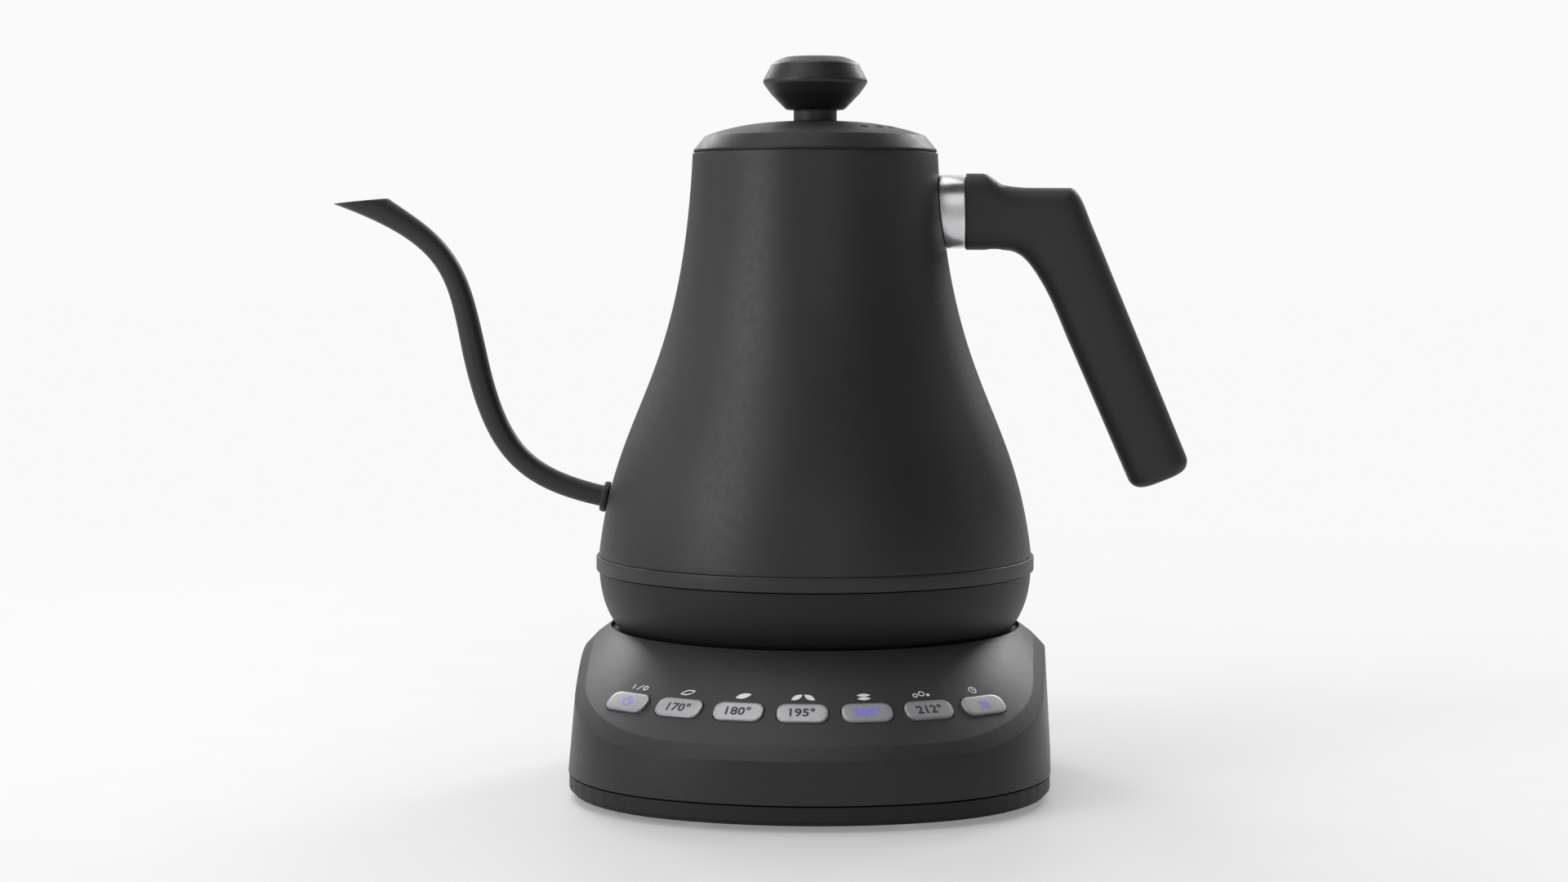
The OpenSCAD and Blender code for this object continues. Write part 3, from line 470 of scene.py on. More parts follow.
def braided_sleeve(name, colour):
    s = Shader(name)
    weave = s.math("MULTIPLY", s.noise(0.6, stretch=(1, 3, 1)), s.noise(0.6, stretch=(3, 1, 1)))
    s.set(Base_Color=s.ramp(weave, shade(colour, 0.55), shade(colour, 1.3), at=(0.15, 0.4)), Roughness=0.7)
    s.bump((weave, 0.15))
    return s.mat


def satin_key(name, colour):
    """Metallic paint over a moulded key: a fine sparkle under a satin skin."""
    s = Shader(name)
    flake = s.cells(0.12)
    base = s.ramp(flake, shade(colour, 0.86), shade(colour, 1.18), at=(0.1, 0.8))
    s.set(Base_Color=base, Metallic=0.55, Roughness=s.range(s.noise(1.2), 0.30, 0.40))
    s.set(Coat_Weight=0.25, Coat_Roughness=0.25)
    s.bump((s.noise(0.25), 0.006), edge_mm=0.12)
    return s.mat


def ink(name, colour, glow=0.0):
    """Printed or lit marks, with the slightly uneven cover of pad printing."""
    s = Shader(name)
    cover = s.noise(0.35, detail=3)
    s.set(Base_Color=s.ramp(cover, shade(colour, 0.85), colour, at=(0.2, 0.5)), Roughness=0.5)
    if glow:
        s.set(Emission_Color=s.ramp(cover, shade(colour, 0.8), colour), Emission_Strength=glow)
    s.bump((cover, 0.01))
    return s.mat


BLACK = (0.014, 0.0142, 0.0148)
coat = powder_coat("matte_black_coat", BLACK)
lid_coat = powder_coat("lid_black_coat", BLACK, specular=0.3)
knob_coat = powder_coat("knob_black_coat", shade(BLACK, 0.8), roughness=0.42)
grip_skin = spark_plastic("grip_plastic", shade(BLACK, 1.7), grain=0.22, depth=0.008, specular=0.35)
# Painted shade: the housing plastic is painted darker than the coat to stand in for the shade under the
# kettle's inward-curving bottom
shaded_housing_skin = spark_plastic("housing_plastic", shade(BLACK, 0.6), grain=0.25, depth=0.012, specular=0.35)
base_skin = spark_plastic("base_plastic", shade(BLACK, 1.8),
                          grain=0.5, depth=0.055, roughness=0.42, edge=0.15, specular=0.3)
bright_steel = grained_metal("ferrule_steel", (0.66, 0.66, 0.67), roughness=0.2, stretch=(1, 1, 1),
                             depth=0.001)
inner_steel = grained_metal("drawn_steel", (0.6, 0.6, 0.6), roughness=0.3, stretch=(8, 8, 1))
key_paint = satin_key("key_metallic_paint", (0.29, 0.29, 0.30))
print_dark = ink("key_print", (0.02, 0.02, 0.022))
print_light = ink("panel_print", (0.82, 0.82, 0.84))
lit_symbol = ink("lit_symbol", (0.17, 0.15, 0.72), glow=0.22)
# Painted shade: the tray below the seam is painted darker than the base cover to stand in for the shade on
# its inset lower edge
shaded_tray_skin = spark_plastic("tray_plastic", shade(BLACK, 1.1), grain=0.4, depth=0.03, specular=0.25)
cord_skin = rubber("cord_rubber", (0.03, 0.03, 0.031), roughness=0.5)
foot_skin = rubber("foot_rubber", (0.035, 0.035, 0.035), roughness=0.75)


def slot_material(slot):
    """A procedural material for a slot of the record, from its class and base colour."""
    colour = tuple(slots[slot]["base_color"][:3])
    kind = slots[slot]["class"]
    name = "cad_" + slot
    if slot == "board_laminate":
        return circuit_board(name, colour)
    if slot in ("lead_sleeve", "wire_sleeve"):
        return braided_sleeve(name, colour)
    if slot == "spreader_aluminium":
        return grained_metal(name, colour, roughness=0.45, stretch=(1, 1, 1), grain=0.8, depth=0.03)
    if kind == "brushed_steel":
        return grained_metal(name, colour)
    if kind == "brass":
        return grained_metal(name, colour, roughness=0.3, stretch=(1, 1, 12))
    if kind == "painted_metal":
        return coat
    if kind == "rubber":
        return rubber(name, colour)
    if kind == "gloss_plastic":
        return glossy_plastic(name, colour)
    return spark_plastic(name, colour)


slot_materials = {slot: slot_material(slot) for slot in sorted(slots)}
for node, obj in cad.items():
    obj.data.materials.clear()
    obj.data.materials.append(shaded_tray_skin if node == "base_bottom" else slot_materials[slot_of[node]])


# ---------- kettle ----------

BODY_CURVE = [(MOUTH_R, RIM_Z), (MOUTH_R + 4.05, RIM_Z - 81.6),
              (BELLY_R - 5.9, BELLY_Z + 53.1), (BELLY_R, BELLY_Z)]


def wall_radius(z):
    curve = bezier(BODY_CURVE, np.linspace(0, 1, 400))[::-1]
    return float(np.interp(z, curve[:, 1], curve[:, 0]))


# The spout's root and its two joined curves in the XZ plane
ROOT = np.array([-71, 94.2])
ROOT_ANGLE = math.radians(12)
MID_LEAN = math.radians(11.7)
TIP_ANGLE = math.radians(23.6)
LIP_SLOPE = math.radians(5.6)
MID = np.array([-117.6, 145])
TIP = np.array([-156.4, 196.0])
lean = np.array([-math.sin(MID_LEAN), math.cos(MID_LEAN)])
root_way = np.array([-math.cos(ROOT_ANGLE), math.sin(ROOT_ANGLE)])
tip_way = np.array([-math.cos(TIP_ANGLE), math.sin(TIP_ANGLE)])
SPOUT_CURVES = [[ROOT, ROOT + 29.8 * root_way, MID - 36.6 * lean, MID],
                [MID, MID + 26 * lean, TIP - 35 * tip_way, TIP]]
ROOT_R, MID_R, FLARE, SPOUT_WALL = 3.6, 4.1, 0.55, 0.8


def root_matrix():
    """Places things along the spout's root: +Z of the piece runs outwards along the spout."""
    return Matrix.Translation((ROOT[0], 0, ROOT[1])) @ Matrix.Rotation(ROOT_ANGLE - math.pi / 2, 4, "Y")


def kettle_shell():
    outer = [p for p in offset_curve(BODY_CURVE, 0, 90) if BELLY_Z + 0.4 < p[1] < RIM_Z - 0.6]
    inner = [p for p in offset_curve(BODY_CURVE, WALL, 90) if BELLY_Z + 0.8 < p[1] < RIM_Z - 0.6][::-1]
    rim = fillet([outer[0], (MOUTH_R, RIM_Z + 0.02), (MOUTH_R - WALL, RIM_Z + 0.02), inner[-1]],
                 [0, 0.15, 0.15, 0])
    foot = fillet([outer[-1], (BELLY_R, BELLY_Z), (SKIRT_R, BELLY_Z), (SKIRT_R, SKIRT_Z),
                   (SKIRT_R - WALL, SKIRT_Z), (SKIRT_R - WALL, BELLY_Z), inner[0]],
                  [0, 0.3, 0.05, 0.1, 0.1, 0, 0], 3)
    profile = [*outer, *foot[1:-1], *inner, *rim[1:-1][::-1]]
    shell = make("shell", *revolve(profile, 240), "kettle", coat, "kettle_shell")
    hole, faces = rod(ROOT_R + 0.05, -6, 6, steps=64)
    cut(shell, [(moved(hole, root_matrix()), faces)])
    shell.data.materials.append(inner_steel)
    for face in shell.data.polygons:
        x, y, z = np.array(face.center) / MM
        inside = math.hypot(x, y) < wall_radius(min(z, RIM_Z)) - 0.6 * WALL
        face.material_index = int(inside and z < RIM_Z - 0.8)
    smooth(shell, 35)


def spout_ring(u, inset, m):
    """One ring of the tube. u runs 0 to 1 along the lower curve and 1 to 2 along the upper one."""
    curve, t = (SPOUT_CURVES[0], u) if u < 1 else (SPOUT_CURVES[1], u - 1)
    centre, way = bezier(curve, t)[0], heading(curve, t)[0]
    v = max(0.0, u - 1)
    flare = FLARE * max(0.0, (v - 0.6) / 0.4) ** 3
    r = ROOT_R + (MID_R - ROOT_R) * min(u, 1) - 1.4 * v * (1 - v) + flare - inset
    across = np.array([-way[1], way[0]])
    level = np.array([-math.sin(LIP_SLOPE), math.cos(LIP_SLOPE)])
    slant = max(0.0, (u - 1.72) / 0.28) ** 1.4
    ring = []
    for a in np.arange(m) * 2 * math.pi / m:
        side = r * math.cos(a) * across
        p = centre + side - slant * (side @ level) / (tip_way @ level) * way
        ring.append([p[0], r * math.sin(a), p[1]])
    return np.array(ring)


def spout():
    m, steps = 48, 110
    back = 3.2 * np.array([math.cos(ROOT_ANGLE), 0, -math.sin(ROOT_ANGLE)])
    stations = np.linspace(0, 2, steps)
    outer = [spout_ring(0, 0, m) + back] + [spout_ring(u, 0, m) for u in stations]
    inner = [spout_ring(u, SPOUT_WALL, m) for u in stations[::-1]] + [spout_ring(0, SPOUT_WALL, m) + back]
    # The lip's edge is rounded by two rings that stand between the outer and the inner wall
    lip_way = np.array([tip_way[0], 0, tip_way[1]])
    lip = [outer[-1] * (1 - w) + inner[0] * w + lip_way * 0.16 for w in (0.22, 0.78)]
    rings = outer[:-1] + [outer[-1] - lip_way * 0.12] + lip + [inner[0] - lip_way * 0.12] + inner[1:]
    points = [p for ring in rings for p in ring]
    make("spout", points, loft_faces(len(rings), m, closed_path=True), "kettle", coat, "spout_tube", sharp=50)


def spout_collar():
    profile = fillet([(ROOT_R + 0.1, 0.4), (5.3, 0.4), (5.3, 1.9), (4.9, 2.4), (ROOT_R + 0.25, 2.4)],
                     [0, 0.2, 0.3, 0.3, 0], 4)
    points, faces = revolve(profile, 72)
    make("spout_bead", moved(points, root_matrix()), faces, "kettle", coat, "spout_collar")


def belt_ring():
    inner, top = SKIRT_R + 0.05, BELT_HIGH[2]
    profile = fillet([(inner, top), (BELT_R, top), (BELT_R, SKIRT_Z), (inner, SKIRT_Z),
                      (inner, (top + SKIRT_Z) / 2)], [0.05, 0.55, 0.45, 0.05, 0], 6)
    profile = [(inner, top), *profile[1:]]
    make("belt", *revolve(profile, 240), "kettle", coat, "belt_ring")


def lower_housing():
    top = SKIRT_Z - 0.35
    side = [(BELLY_R - 0.15, top), (BELLY_R - 0.4, top - 7.2),
            (BELLY_R - 2.2, top - 14.6), (BELLY_R - 7.6, HOUSING_Z)]
    outer = offset_curve(side, 0, 40)
    inner = [p for p in offset_curve(side, 2.2, 40) if HOUSING_Z + 2.2 < p[1] < top - 1][::-1]
    bottom = fillet([outer[-2], outer[-1], (24.5, HOUSING_Z), (24.5, HOUSING_Z + 2.2), (60, HOUSING_Z + 2.2)],
                    [0, 1.2, 0.4, 0.2, 0])
    lip_r = SKIRT_R - WALL - 0.1
    lip = fillet([(BELLY_R - 3.6, top - 0.8), (lip_r - 1.6, top + 2.6), (lip_r, top + 2.6), (lip_r, top),
                  outer[0]], [0, 0.2, 0.2, 0.1, 0], 3)
    crown = fillet([outer[0], (outer[0][0], top - 0.3), outer[3]], [0, 0.2, 0], 3)
    profile = [*crown, *outer[4:-2], *bottom[:-1], *inner, *lip[:-1]]
    housing = make("lower_shell", *revolve(profile, 240), "kettle", shaded_housing_skin, "lower_housing")
    # Wells for the three screws
    cut(housing, [rod(3.4, HOUSING_Z - 1, HOUSING_Z + 1.2, at) for at in on_circle(60, [90, 210, 330])])
    smooth(housing, 35)


# ---------- handle ----------

GRIP_LOW, GRIP_HIGH = span("handle_grip")
FERRULE_X = GRIP_LOW[0]
GRIP_TOP = GRIP_HIGH[2]
GRIP_H = 26
GRIP_Z = GRIP_TOP - GRIP_H
GRIP_W = GRIP_HIGH[1] - GRIP_LOW[1]
GRIP_SCREW_X = 61


def ferrule():
    m = 72
    section = oval(GRIP_W / 2 - 0.3, GRIP_H / 2 - 0.5, 2.6, m)
    mid_z = GRIP_Z + GRIP_H / 2
    wall_x = [math.sqrt(wall_radius(mid_z + z) ** 2 - y * y) + 0.05 for y, z in section]
    end = FERRULE_X - 0.05
    rings = []
    for share, grow in ((0, -0.35), (0.02, -0.1), (0.05, 0), (0.5, 0), (0.93, 0), (0.975, -0.1), (1, -0.35)):
        scale = 1 + grow / (GRIP_H / 2)
        rings += [[x + share * (end - x), y * scale, mid_z + z * scale] for x, (y, z) in zip(wall_x, section)]
    make("ferrule", rings, loft_faces(7, m), "kettle", bright_steel, "handle_ferrule")


def grip():
    """Oval ribs along the handle. Each spans it from its inner edge to its outer one."""
    x, z, top = FERRULE_X, GRIP_Z, GRIP_TOP
    inner = [(x, z), (x + 6, z), (x + 11.6, z), (x + 15.2, z - 0.3), (x + 18.4, z - 1.6), (x + 21.2, z - 4),
             (x + 23.9, z - 7.6), (x + 28.4, z - 15.4)]
    outer = [(x, top), (x + 6.3, top - 0.1), (x + 9.6, top - 1.9), (x + 13, top - 4), (x + 22, top - 4.9),
             (x + 36.2, top - 5), (x + 38.1, top - 6.9), (x + 42.9, top - 17.7)]
    ends = np.array(inner[-1]) + [27.2, -62.32], np.array(outer[-1]) + [32.4, -78.17]
    for share in (0.25, 0.5, 0.75, 1):
        inner.append(tuple(np.array(inner[7]) + share * (ends[0] - inner[7])))
        outer.append(tuple(np.array(outer[7]) + share * (ends[1] - outer[7])))
    knots = np.concatenate([[0], np.cumsum(np.linalg.norm(np.diff(outer, axis=0), axis=1))])
    at = np.sort(np.concatenate([np.linspace(0, knots[-1], 90), [0.2, 0.6]]))
    inner_line, outer_line = smooth_through(knots, inner, at), smooth_through(knots, outer, at)
    ribs = [(a, b, 1.0) for a, b in zip(inner_line, outer_line)]
    # The face that meets the ferrule has a small round, and the lower end is a soft quarter turn
    ribs[0] = (ribs[0][0] + [0, 0.5], ribs[0][1] - [0, 0.5], 0.945)
    ribs[1] = (ribs[1][0] + [0, 0.14], ribs[1][1] - [0, 0.14], 0.985)
    mid, half = (ends[0] + ends[1]) / 2, (ends[1] - ends[0]) / 2
    onward = np.array([half[1], -half[0]]) / np.linalg.norm(half)
    for a in np.radians(np.linspace(7, 86, 16)):
        s = math.cos(a) ** 0.42
        centre = mid + 5 * math.sin(a) * onward
        ribs.append((centre - s * half, centre + s * half, s))
    m = 64
    points = []
    for a, b, width in ribs:
        centre, half = (a + b) / 2, (b - a) / 2
        for along, across in oval(1, 1, 2.6, m):
            point = centre + along * half
            points.append([point[0], -across * GRIP_W / 2 * width, point[1]])
    body = make("grip", points, loft_faces(len(ribs), m), "kettle", grip_skin, "handle_grip", sharp=60)
    cut(body, [rod(3.2, GRIP_Z - 3, GRIP_Z + 2.2, (GRIP_SCREW_X, 0))])
    smooth(body, 60)


# ---------- lid ----------

LID_LOW, LID_HIGH = span("lid_cover")
LID_R = LID_HIGH[0]
LID_Z = LID_LOW[2]
CROWN_Z = LID_HIGH[2]
CROWN_R = LID_R - 3.9
SHOULDER_Z = LID_Z + 5.4
KNOB_LOW, KNOB_HIGH = span("lid_knob")
STEM_LOW, STEM_HIGH = span("knob_stem")
VENT_RING, VENT_R = 29.5, 1.4


def crown_height(r, edge_r, edge_z, top):
    return edge_z + (top - edge_z) * (1 - (r / edge_r) ** 2.8)


def lid_cover():
    top = [(r, crown_height(r, CROWN_R, SHOULDER_Z, CROWN_Z)) for r in np.linspace(CROWN_R - 1.5, 2.3, 40)]
    under = [(r, crown_height(r, CROWN_R - 0.4, SHOULDER_Z - 1, CROWN_Z - 1))
             for r in np.linspace(2.3, CROWN_R - 1.2, 30)]
    edge = fillet([(LID_R - 1, LID_Z), (LID_R, LID_Z), (LID_R, LID_Z + 0.7), (CROWN_R, SHOULDER_Z), top[0]],
                  [0, 0.15, 0.25, 0.25, 0], 6)
    profile = [*edge[:-1], *top, *under, (CROWN_R - 0.6, SHOULDER_Z - 1.2)]
    cover = make("lid", *revolve(profile, 240), "lid", lid_coat, "lid_cover")
    vents = on_circle(VENT_RING, [-54, -41, -28])
    cut(cover, [rod(VENT_R, CROWN_Z - 8, CROWN_Z + 4, at, 32) for at in vents])
    smooth(cover, 30)


def lid_liner():
    """The steel cup under the lid. Its flange sits on the rim and stops short of the lid's edge."""
    low, high = span("lid_liner")
    r, flange = MOUTH_R - 1.75, MOUTH_R - 0.75
    profile = fillet([(0, low[2]), (r, low[2]), (r, RIM_Z + 0.05), (flange, RIM_Z + 0.05), (flange, high[2]),
                      (r - 0.6, high[2]), (r - 0.6, low[2] + 0.6), (0, low[2] + 0.6)],
                     [0, 0.6, 0.1, 0.1, 0.1, 0.2, 0.3, 0], 4)
    cup = make("lid_cup", *revolve(profile, 198), "lid", inner_steel, "lid_liner")
    steam_holes = on_circle(26, np.arange(30, 331, 60))
    cut(cup, [rod(2.5, low[2] - 1, low[2] + 2, at, 32) for at in steam_holes])
    # Painted shade: the flange's faces above the rim get the black coat, so the gap between lid and body
    # reads dark
    cup.data.materials.append(coat)
    for face in cup.data.polygons:
        face.material_index = int(face.center.z / MM > RIM_Z + 0.02)
    smooth(cup, 35)


def knob():
    r, z, h = KNOB_HIGH[0], KNOB_LOW[2], KNOB_HIGH[2] - KNOB_LOW[2]
    edge = z + h * 0.525
    corners = [(0, z), (r * 0.55, z), (r * 0.83, z + h * 0.29), (r, edge), (r * 0.86, z + h * 0.8),
               (r * 0.825, z + h * 0.875), (r * 0.64, z + h * 0.97), (r * 0.55, z + h), (0, z + h)]
    profile = fillet(corners, [0, 2.0, 9, 2.0, 4, 2.2, 2.5, 1.5, 0], 10)
    make("knob", *revolve(profile, 200), "lid", knob_coat, "lid_knob")


def knob_stem():
    r, z0, z1 = STEM_HIGH[0], STEM_LOW[2], STEM_HIGH[2]
    profile = fillet([(2.3, z0), (r, z0), (r, z1), (2.3, z1), (2.3, (z0 + z1) / 2)],
                     [0, 0.15, 0.15, 0.1, 0], 4)
    make("stem", *revolve(profile, 160), "lid", coat, "knob_stem")


kettle_shell()
spout()
spout_collar()
belt_ring()
lower_housing()
ferrule()
grip()
lid_cover()
lid_liner()
knob()
knob_stem()


# ---------- base ----------

def outline_distance(front, side, angle):
    """Distance from the axis to the base's outline, at an angle from the front.

    A front arc about the axis runs into a tighter corner, a straight tapered side and a round back.
    """
    a = abs((angle + math.pi) % (2 * math.pi) - math.pi)
    lean_in = math.sin(FRONT_SPAN + SIDE_TAPER)
    rc = (side - front * lean_in) / (1 - lean_in)
    d = front - rc
    if a <= FRONT_SPAN:
        return front
    if a <= math.atan2(d * math.sin(FRONT_SPAN) + rc * math.cos(SIDE_TAPER),
                       d * math.cos(FRONT_SPAN) + rc * math.sin(SIDE_TAPER)):
        t = a - FRONT_SPAN
        return d * math.cos(t) + math.sqrt(rc * rc - (d * math.sin(t)) ** 2)
    return side / math.sin(a + SIDE_TAPER) if a <= math.pi / 2 - SIDE_TAPER else side


def panel_z(r):
    return RECESS_RIM_Z - (r - RECESS_R) * math.tan(PANEL_SLOPE)


BASE_WALL = 2.2
SHELF_Z = RECESS_Z - BASE_WALL
SOCKET_R = 23  # the opening for the connector


def polar_loop(profile_at):
    """Points and faces of a closed loop of profile points that changes with the angle from the front."""
    points, steps = [], 360
    for i in range(steps):
        a = 2 * math.pi * i / steps
        points += [[r * math.sin(a), -r * math.cos(a), z] for r, z in profile_at(a)]
    return points, loft_faces(steps, len(points) // steps, closed_path=True)


def base_section(angle):
    out = outline_distance(BASE_FRONT_R, BASE_SIDE, angle)
    edge = outline_distance(BASE_FRONT_R - 4.4, BASE_SIDE - 5.5, angle)
    edge_z = panel_z(edge)
    under = BASE_WALL / math.cos(PANEL_SLOPE)
    inner_edge = edge - 1.6
    return fillet([
        (out - BASE_WALL, SEAM_Z + 0.3), (out, SEAM_Z + 0.3), (edge + 3.5, edge_z - 3.8),
        (edge - 0.48, edge_z + 0.36), (RECESS_R, RECESS_RIM_Z), (RECESS_R, RECESS_Z), (SOCKET_R, RECESS_Z),
        (SOCKET_R, SHELF_Z), (RECESS_R - 0.6, SHELF_Z), (inner_edge, panel_z(inner_edge) - under - 1.0),
        (out - BASE_WALL, SEAM_Z + 4)],
        [0, 0.25, 0.4, 0.25, 0.4, 0.2, 0.3, 0.1, 0, 0, 0], 4)


def panel_matrix(place):
    """Places things on the panel at a key: +Z is the panel's outward normal and +Y runs up the slope."""
    out = Matrix.Translation((0, -KEY_RING_R, panel_z(KEY_RING_R)))
    return Matrix.Rotation(place * KEY_PITCH, 4, "Z") @ out @ Matrix.Rotation(PANEL_SLOPE, 4, "X")


KEY_LABELS = ["power", "170", "180", "195", "205", "212", "hold"]
KEY_PLACES = {label: i - 3 for i, label in enumerate(KEY_LABELS)}
KEY_W, KEY_D, KEY_ROUND, KEY_PROUD, KEY_DOME = 16.2, 8.0, 3.2, 0.7, 0.12


def prism(outline, z0, z1):
    """A closed prism over an outline, as a cutter."""
    return [[x, y, z] for z in (z0, z1) for x, y in outline], loft_faces(2, len(outline))


def base_cover():
    cover = make("base_shell", *polar_loop(base_section), "base", base_skin, "base_cover")
    window, faces = prism(rounded_rect(KEY_W + 0.6, KEY_D + 0.6, KEY_ROUND + 0.3), -6, 3)
    cut(cover, [(moved(window, panel_matrix(place)), faces) for place in KEY_PLACES.values()])
    smooth(cover, 28)


def dome(x, y):
    """Height of a key's slightly pillowed face above its edge."""
    return KEY_DOME * max(0.0, 1 - (2 * x / KEY_W) ** 4) * max(0.0, 1 - (2 * y / KEY_D) ** 2)


def key_cap(label, place):
    back = BASE_WALL + 1.6
    levels = [(-0.8, -back), (-0.8, 1 - back), (0.0, 1 - back), (0.0, KEY_PROUD - 0.3),
              (0.05, KEY_PROUD - 0.14), (0.14, KEY_PROUD - 0.05)]
    levels += [(inset, KEY_PROUD) for inset in (0.3, 1.0, 1.6, 2.3, 3.0, 3.6)]
    points, m = [], 0
    for inset, z in levels:
        ring = rounded_rect(KEY_W - 2 * inset, KEY_D - 2 * inset, KEY_ROUND - inset)
        m = len(ring)
        on_top = z >= KEY_PROUD
        points += [[x, y, z + (dome(x, y) - KEY_DOME if on_top else -KEY_DOME * (z > 0))] for x, y in ring]
    points = moved(points, panel_matrix(place))
    node = "button_" + label
    make("cap_" + label, points, loft_faces(len(levels), m), node, key_paint, node, sharp=40)


# ---------- marks on the keys and the panel ----------

CIRCLE_STEPS = 32
NUMERAL_SIZE = 4.6


def strip(outer, inner):
    """A flat band between two outlines with as many points each."""
    m = len(outer)
    return np.vstack([outer, inner]), [(j, (j + 1) % m, m + (j + 1) % m, m + j) for j in range(m)]


def circle(u, v, r):
    a = np.arange(CIRCLE_STEPS) * 2 * math.pi / CIRCLE_STEPS
    return np.stack([u + r * np.cos(a), v + r * np.sin(a)], 1)


def ring_mark(u, v, r, width):
    return strip(circle(u, v, r), circle(u, v, r - width))


def disc_mark(u, v, r):
    return circle(u, v, r), [tuple(range(CIRCLE_STEPS))]


def line_mark(path, width):
    """A band of even width along a path of points, with square ends."""
    path = np.array(path, float)
    way = np.gradient(path, axis=0)
    way /= np.linalg.norm(way, axis=1)[:, None]
    side = np.stack([-way[:, 1], way[:, 0]], 1) * width / 2
    n = len(path)
    return np.vstack([path - side, path + side]), [(i, i + 1, n + i + 1, n + i) for i in range(n - 1)]


def leaf_mark(u, v, length, width, angle, filled):
    """A pointed leaf outline or a filled leaf, about its centre."""
    t = np.linspace(-1, 1, 15)
    half = np.stack([t * length / 2, (1 - t * t) * width / 2], 1)
    edge = np.vstack([half, (half * [1, -1])[::-1][1:-1]])
    turn = np.array([[math.cos(angle), math.sin(angle)], [-math.sin(angle), math.cos(angle)]])
    if filled:
        return edge @ turn + [u, v], [tuple(range(len(edge)))]
    points, faces = strip(edge, edge * [0.78, 0.6])
    return points @ turn + [u, v], faces


def wave_mark(u, v, height, width):
    t = np.linspace(0, 1, 13)
    return line_mark(np.stack([u + 0.3 * np.sin(2 * math.pi * t), v + height * (t - 0.5)], 1), width)


def arc_mark(u, v, r, start, end, width):
    a = np.radians(np.linspace(start, end, 33))
    return line_mark(np.stack([u + r * np.cos(a), v + r * np.sin(a)], 1), width)


def solid_mark(name, marks, place_points, body, material, thickness=0.04):
    """Joins flat marks into one thin raised piece. place_points maps (u, v, height) to the row frame."""
    mesh = bpy.data.meshes.new(name)
    bm = bmesh.new()
    for points, faces in marks:
        low = [bm.verts.new(Vector(place_points(u, v, 0.0)) * MM) for u, v in points]
        high = [bm.verts.new(Vector(place_points(u, v, thickness)) * MM) for u, v in points]
        for face in faces:
            bm.faces.new([high[i] for i in face])
            bm.faces.new([low[i] for i in reversed(face)])
        edges = dict.fromkeys(pair for face in faces for pair in zip(face, face[1:] + face[:1]))
        for i, j in edges:
            if (j, i) not in edges:
                bm.faces.new([low[i], low[j], high[j], high[i]])
    bmesh.ops.recalc_face_normals(bm, faces=bm.faces)
    bm.to_mesh(mesh)
    bm.free()
    mesh.materials.append(material)
    mesh.set_sharp_from_angle(angle=math.radians(35))
    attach(add_object(name, mesh), body)


def on_key(place):
    matrix = panel_matrix(place)
    return lambda u, v, h: matrix @ Vector((u, v, KEY_PROUD - KEY_DOME + dome(u, v) + 0.005 + h))


def on_panel(place, up):
    """Maps flat marks onto the conical panel, up the slope from a key."""
    def put(u, v, h):
        slope_r = KEY_RING_R - (up + v) * math.cos(PANEL_SLOPE)
        a = place * KEY_PITCH + u / slope_r
        r = slope_r + (h + 0.01) * math.sin(PANEL_SLOPE)
        z = panel_z(slope_r) + (h + 0.01) * math.cos(PANEL_SLOPE)
        return Vector((r * math.sin(a), -r * math.cos(a), z))
    return put


def numeral_marks(text):
    """Flat outlines of a number, from Blender's own font, as one set of points and faces."""
    curve = bpy.data.curves.new("numeral", "FONT")
    curve.body = text
    curve.align_x, curve.align_y = "CENTER", "CENTER"
    curve.size = NUMERAL_SIZE
    curve.offset = NUMERAL_SIZE * 0.026
    curve.space_character = 1.04
    curve.resolution_u = 4
    obj = add_object("numeral", curve)
    bpy.context.view_layer.update()
    mesh = obj.to_mesh()
    bm = bmesh.new()
    bm.from_mesh(mesh)
    bmesh.ops.remove_doubles(bm, verts=bm.verts, dist=1e-5)
    points = np.array([v.co[:2] for v in bm.verts])
    faces = [tuple(v.index for v in f.verts) for f in bm.faces]
    bm.free()
    obj.to_mesh_clear()
    bpy.data.objects.remove(obj)
    bpy.data.curves.remove(curve)
    points -= (points.min(0) + points.max(0)) / 2
    return points, faces


def power_symbol(u, v, r, width):
    return [arc_mark(u, v, r, 125, 415, width), line_mark([(u, v + 0.1 * r), (u, v + 1.3 * r)], width)]


def steam_symbol(u, v):
    bar = line_mark([(u - 1.7, v - 1.5), (u + 1.7, v - 1.5)], 0.45)
    return [bar] + [wave_mark(u + s, v + 0.35, 2.4, 0.42) for s in (-1.2, 0, 1.2)]


def key_marks():
    for label, place in KEY_PLACES.items():
        if label == "power":
            marks, material = power_symbol(0, 0, 1.7, 0.45), lit_symbol
        elif label == "hold":
            marks, material = steam_symbol(0, 0), lit_symbol
        else:
            marks, material = [numeral_marks(label + "°")], lit_symbol if label == "205" else print_dark
        solid_mark("print_" + label, marks, on_key(place), "button_" + label, material)


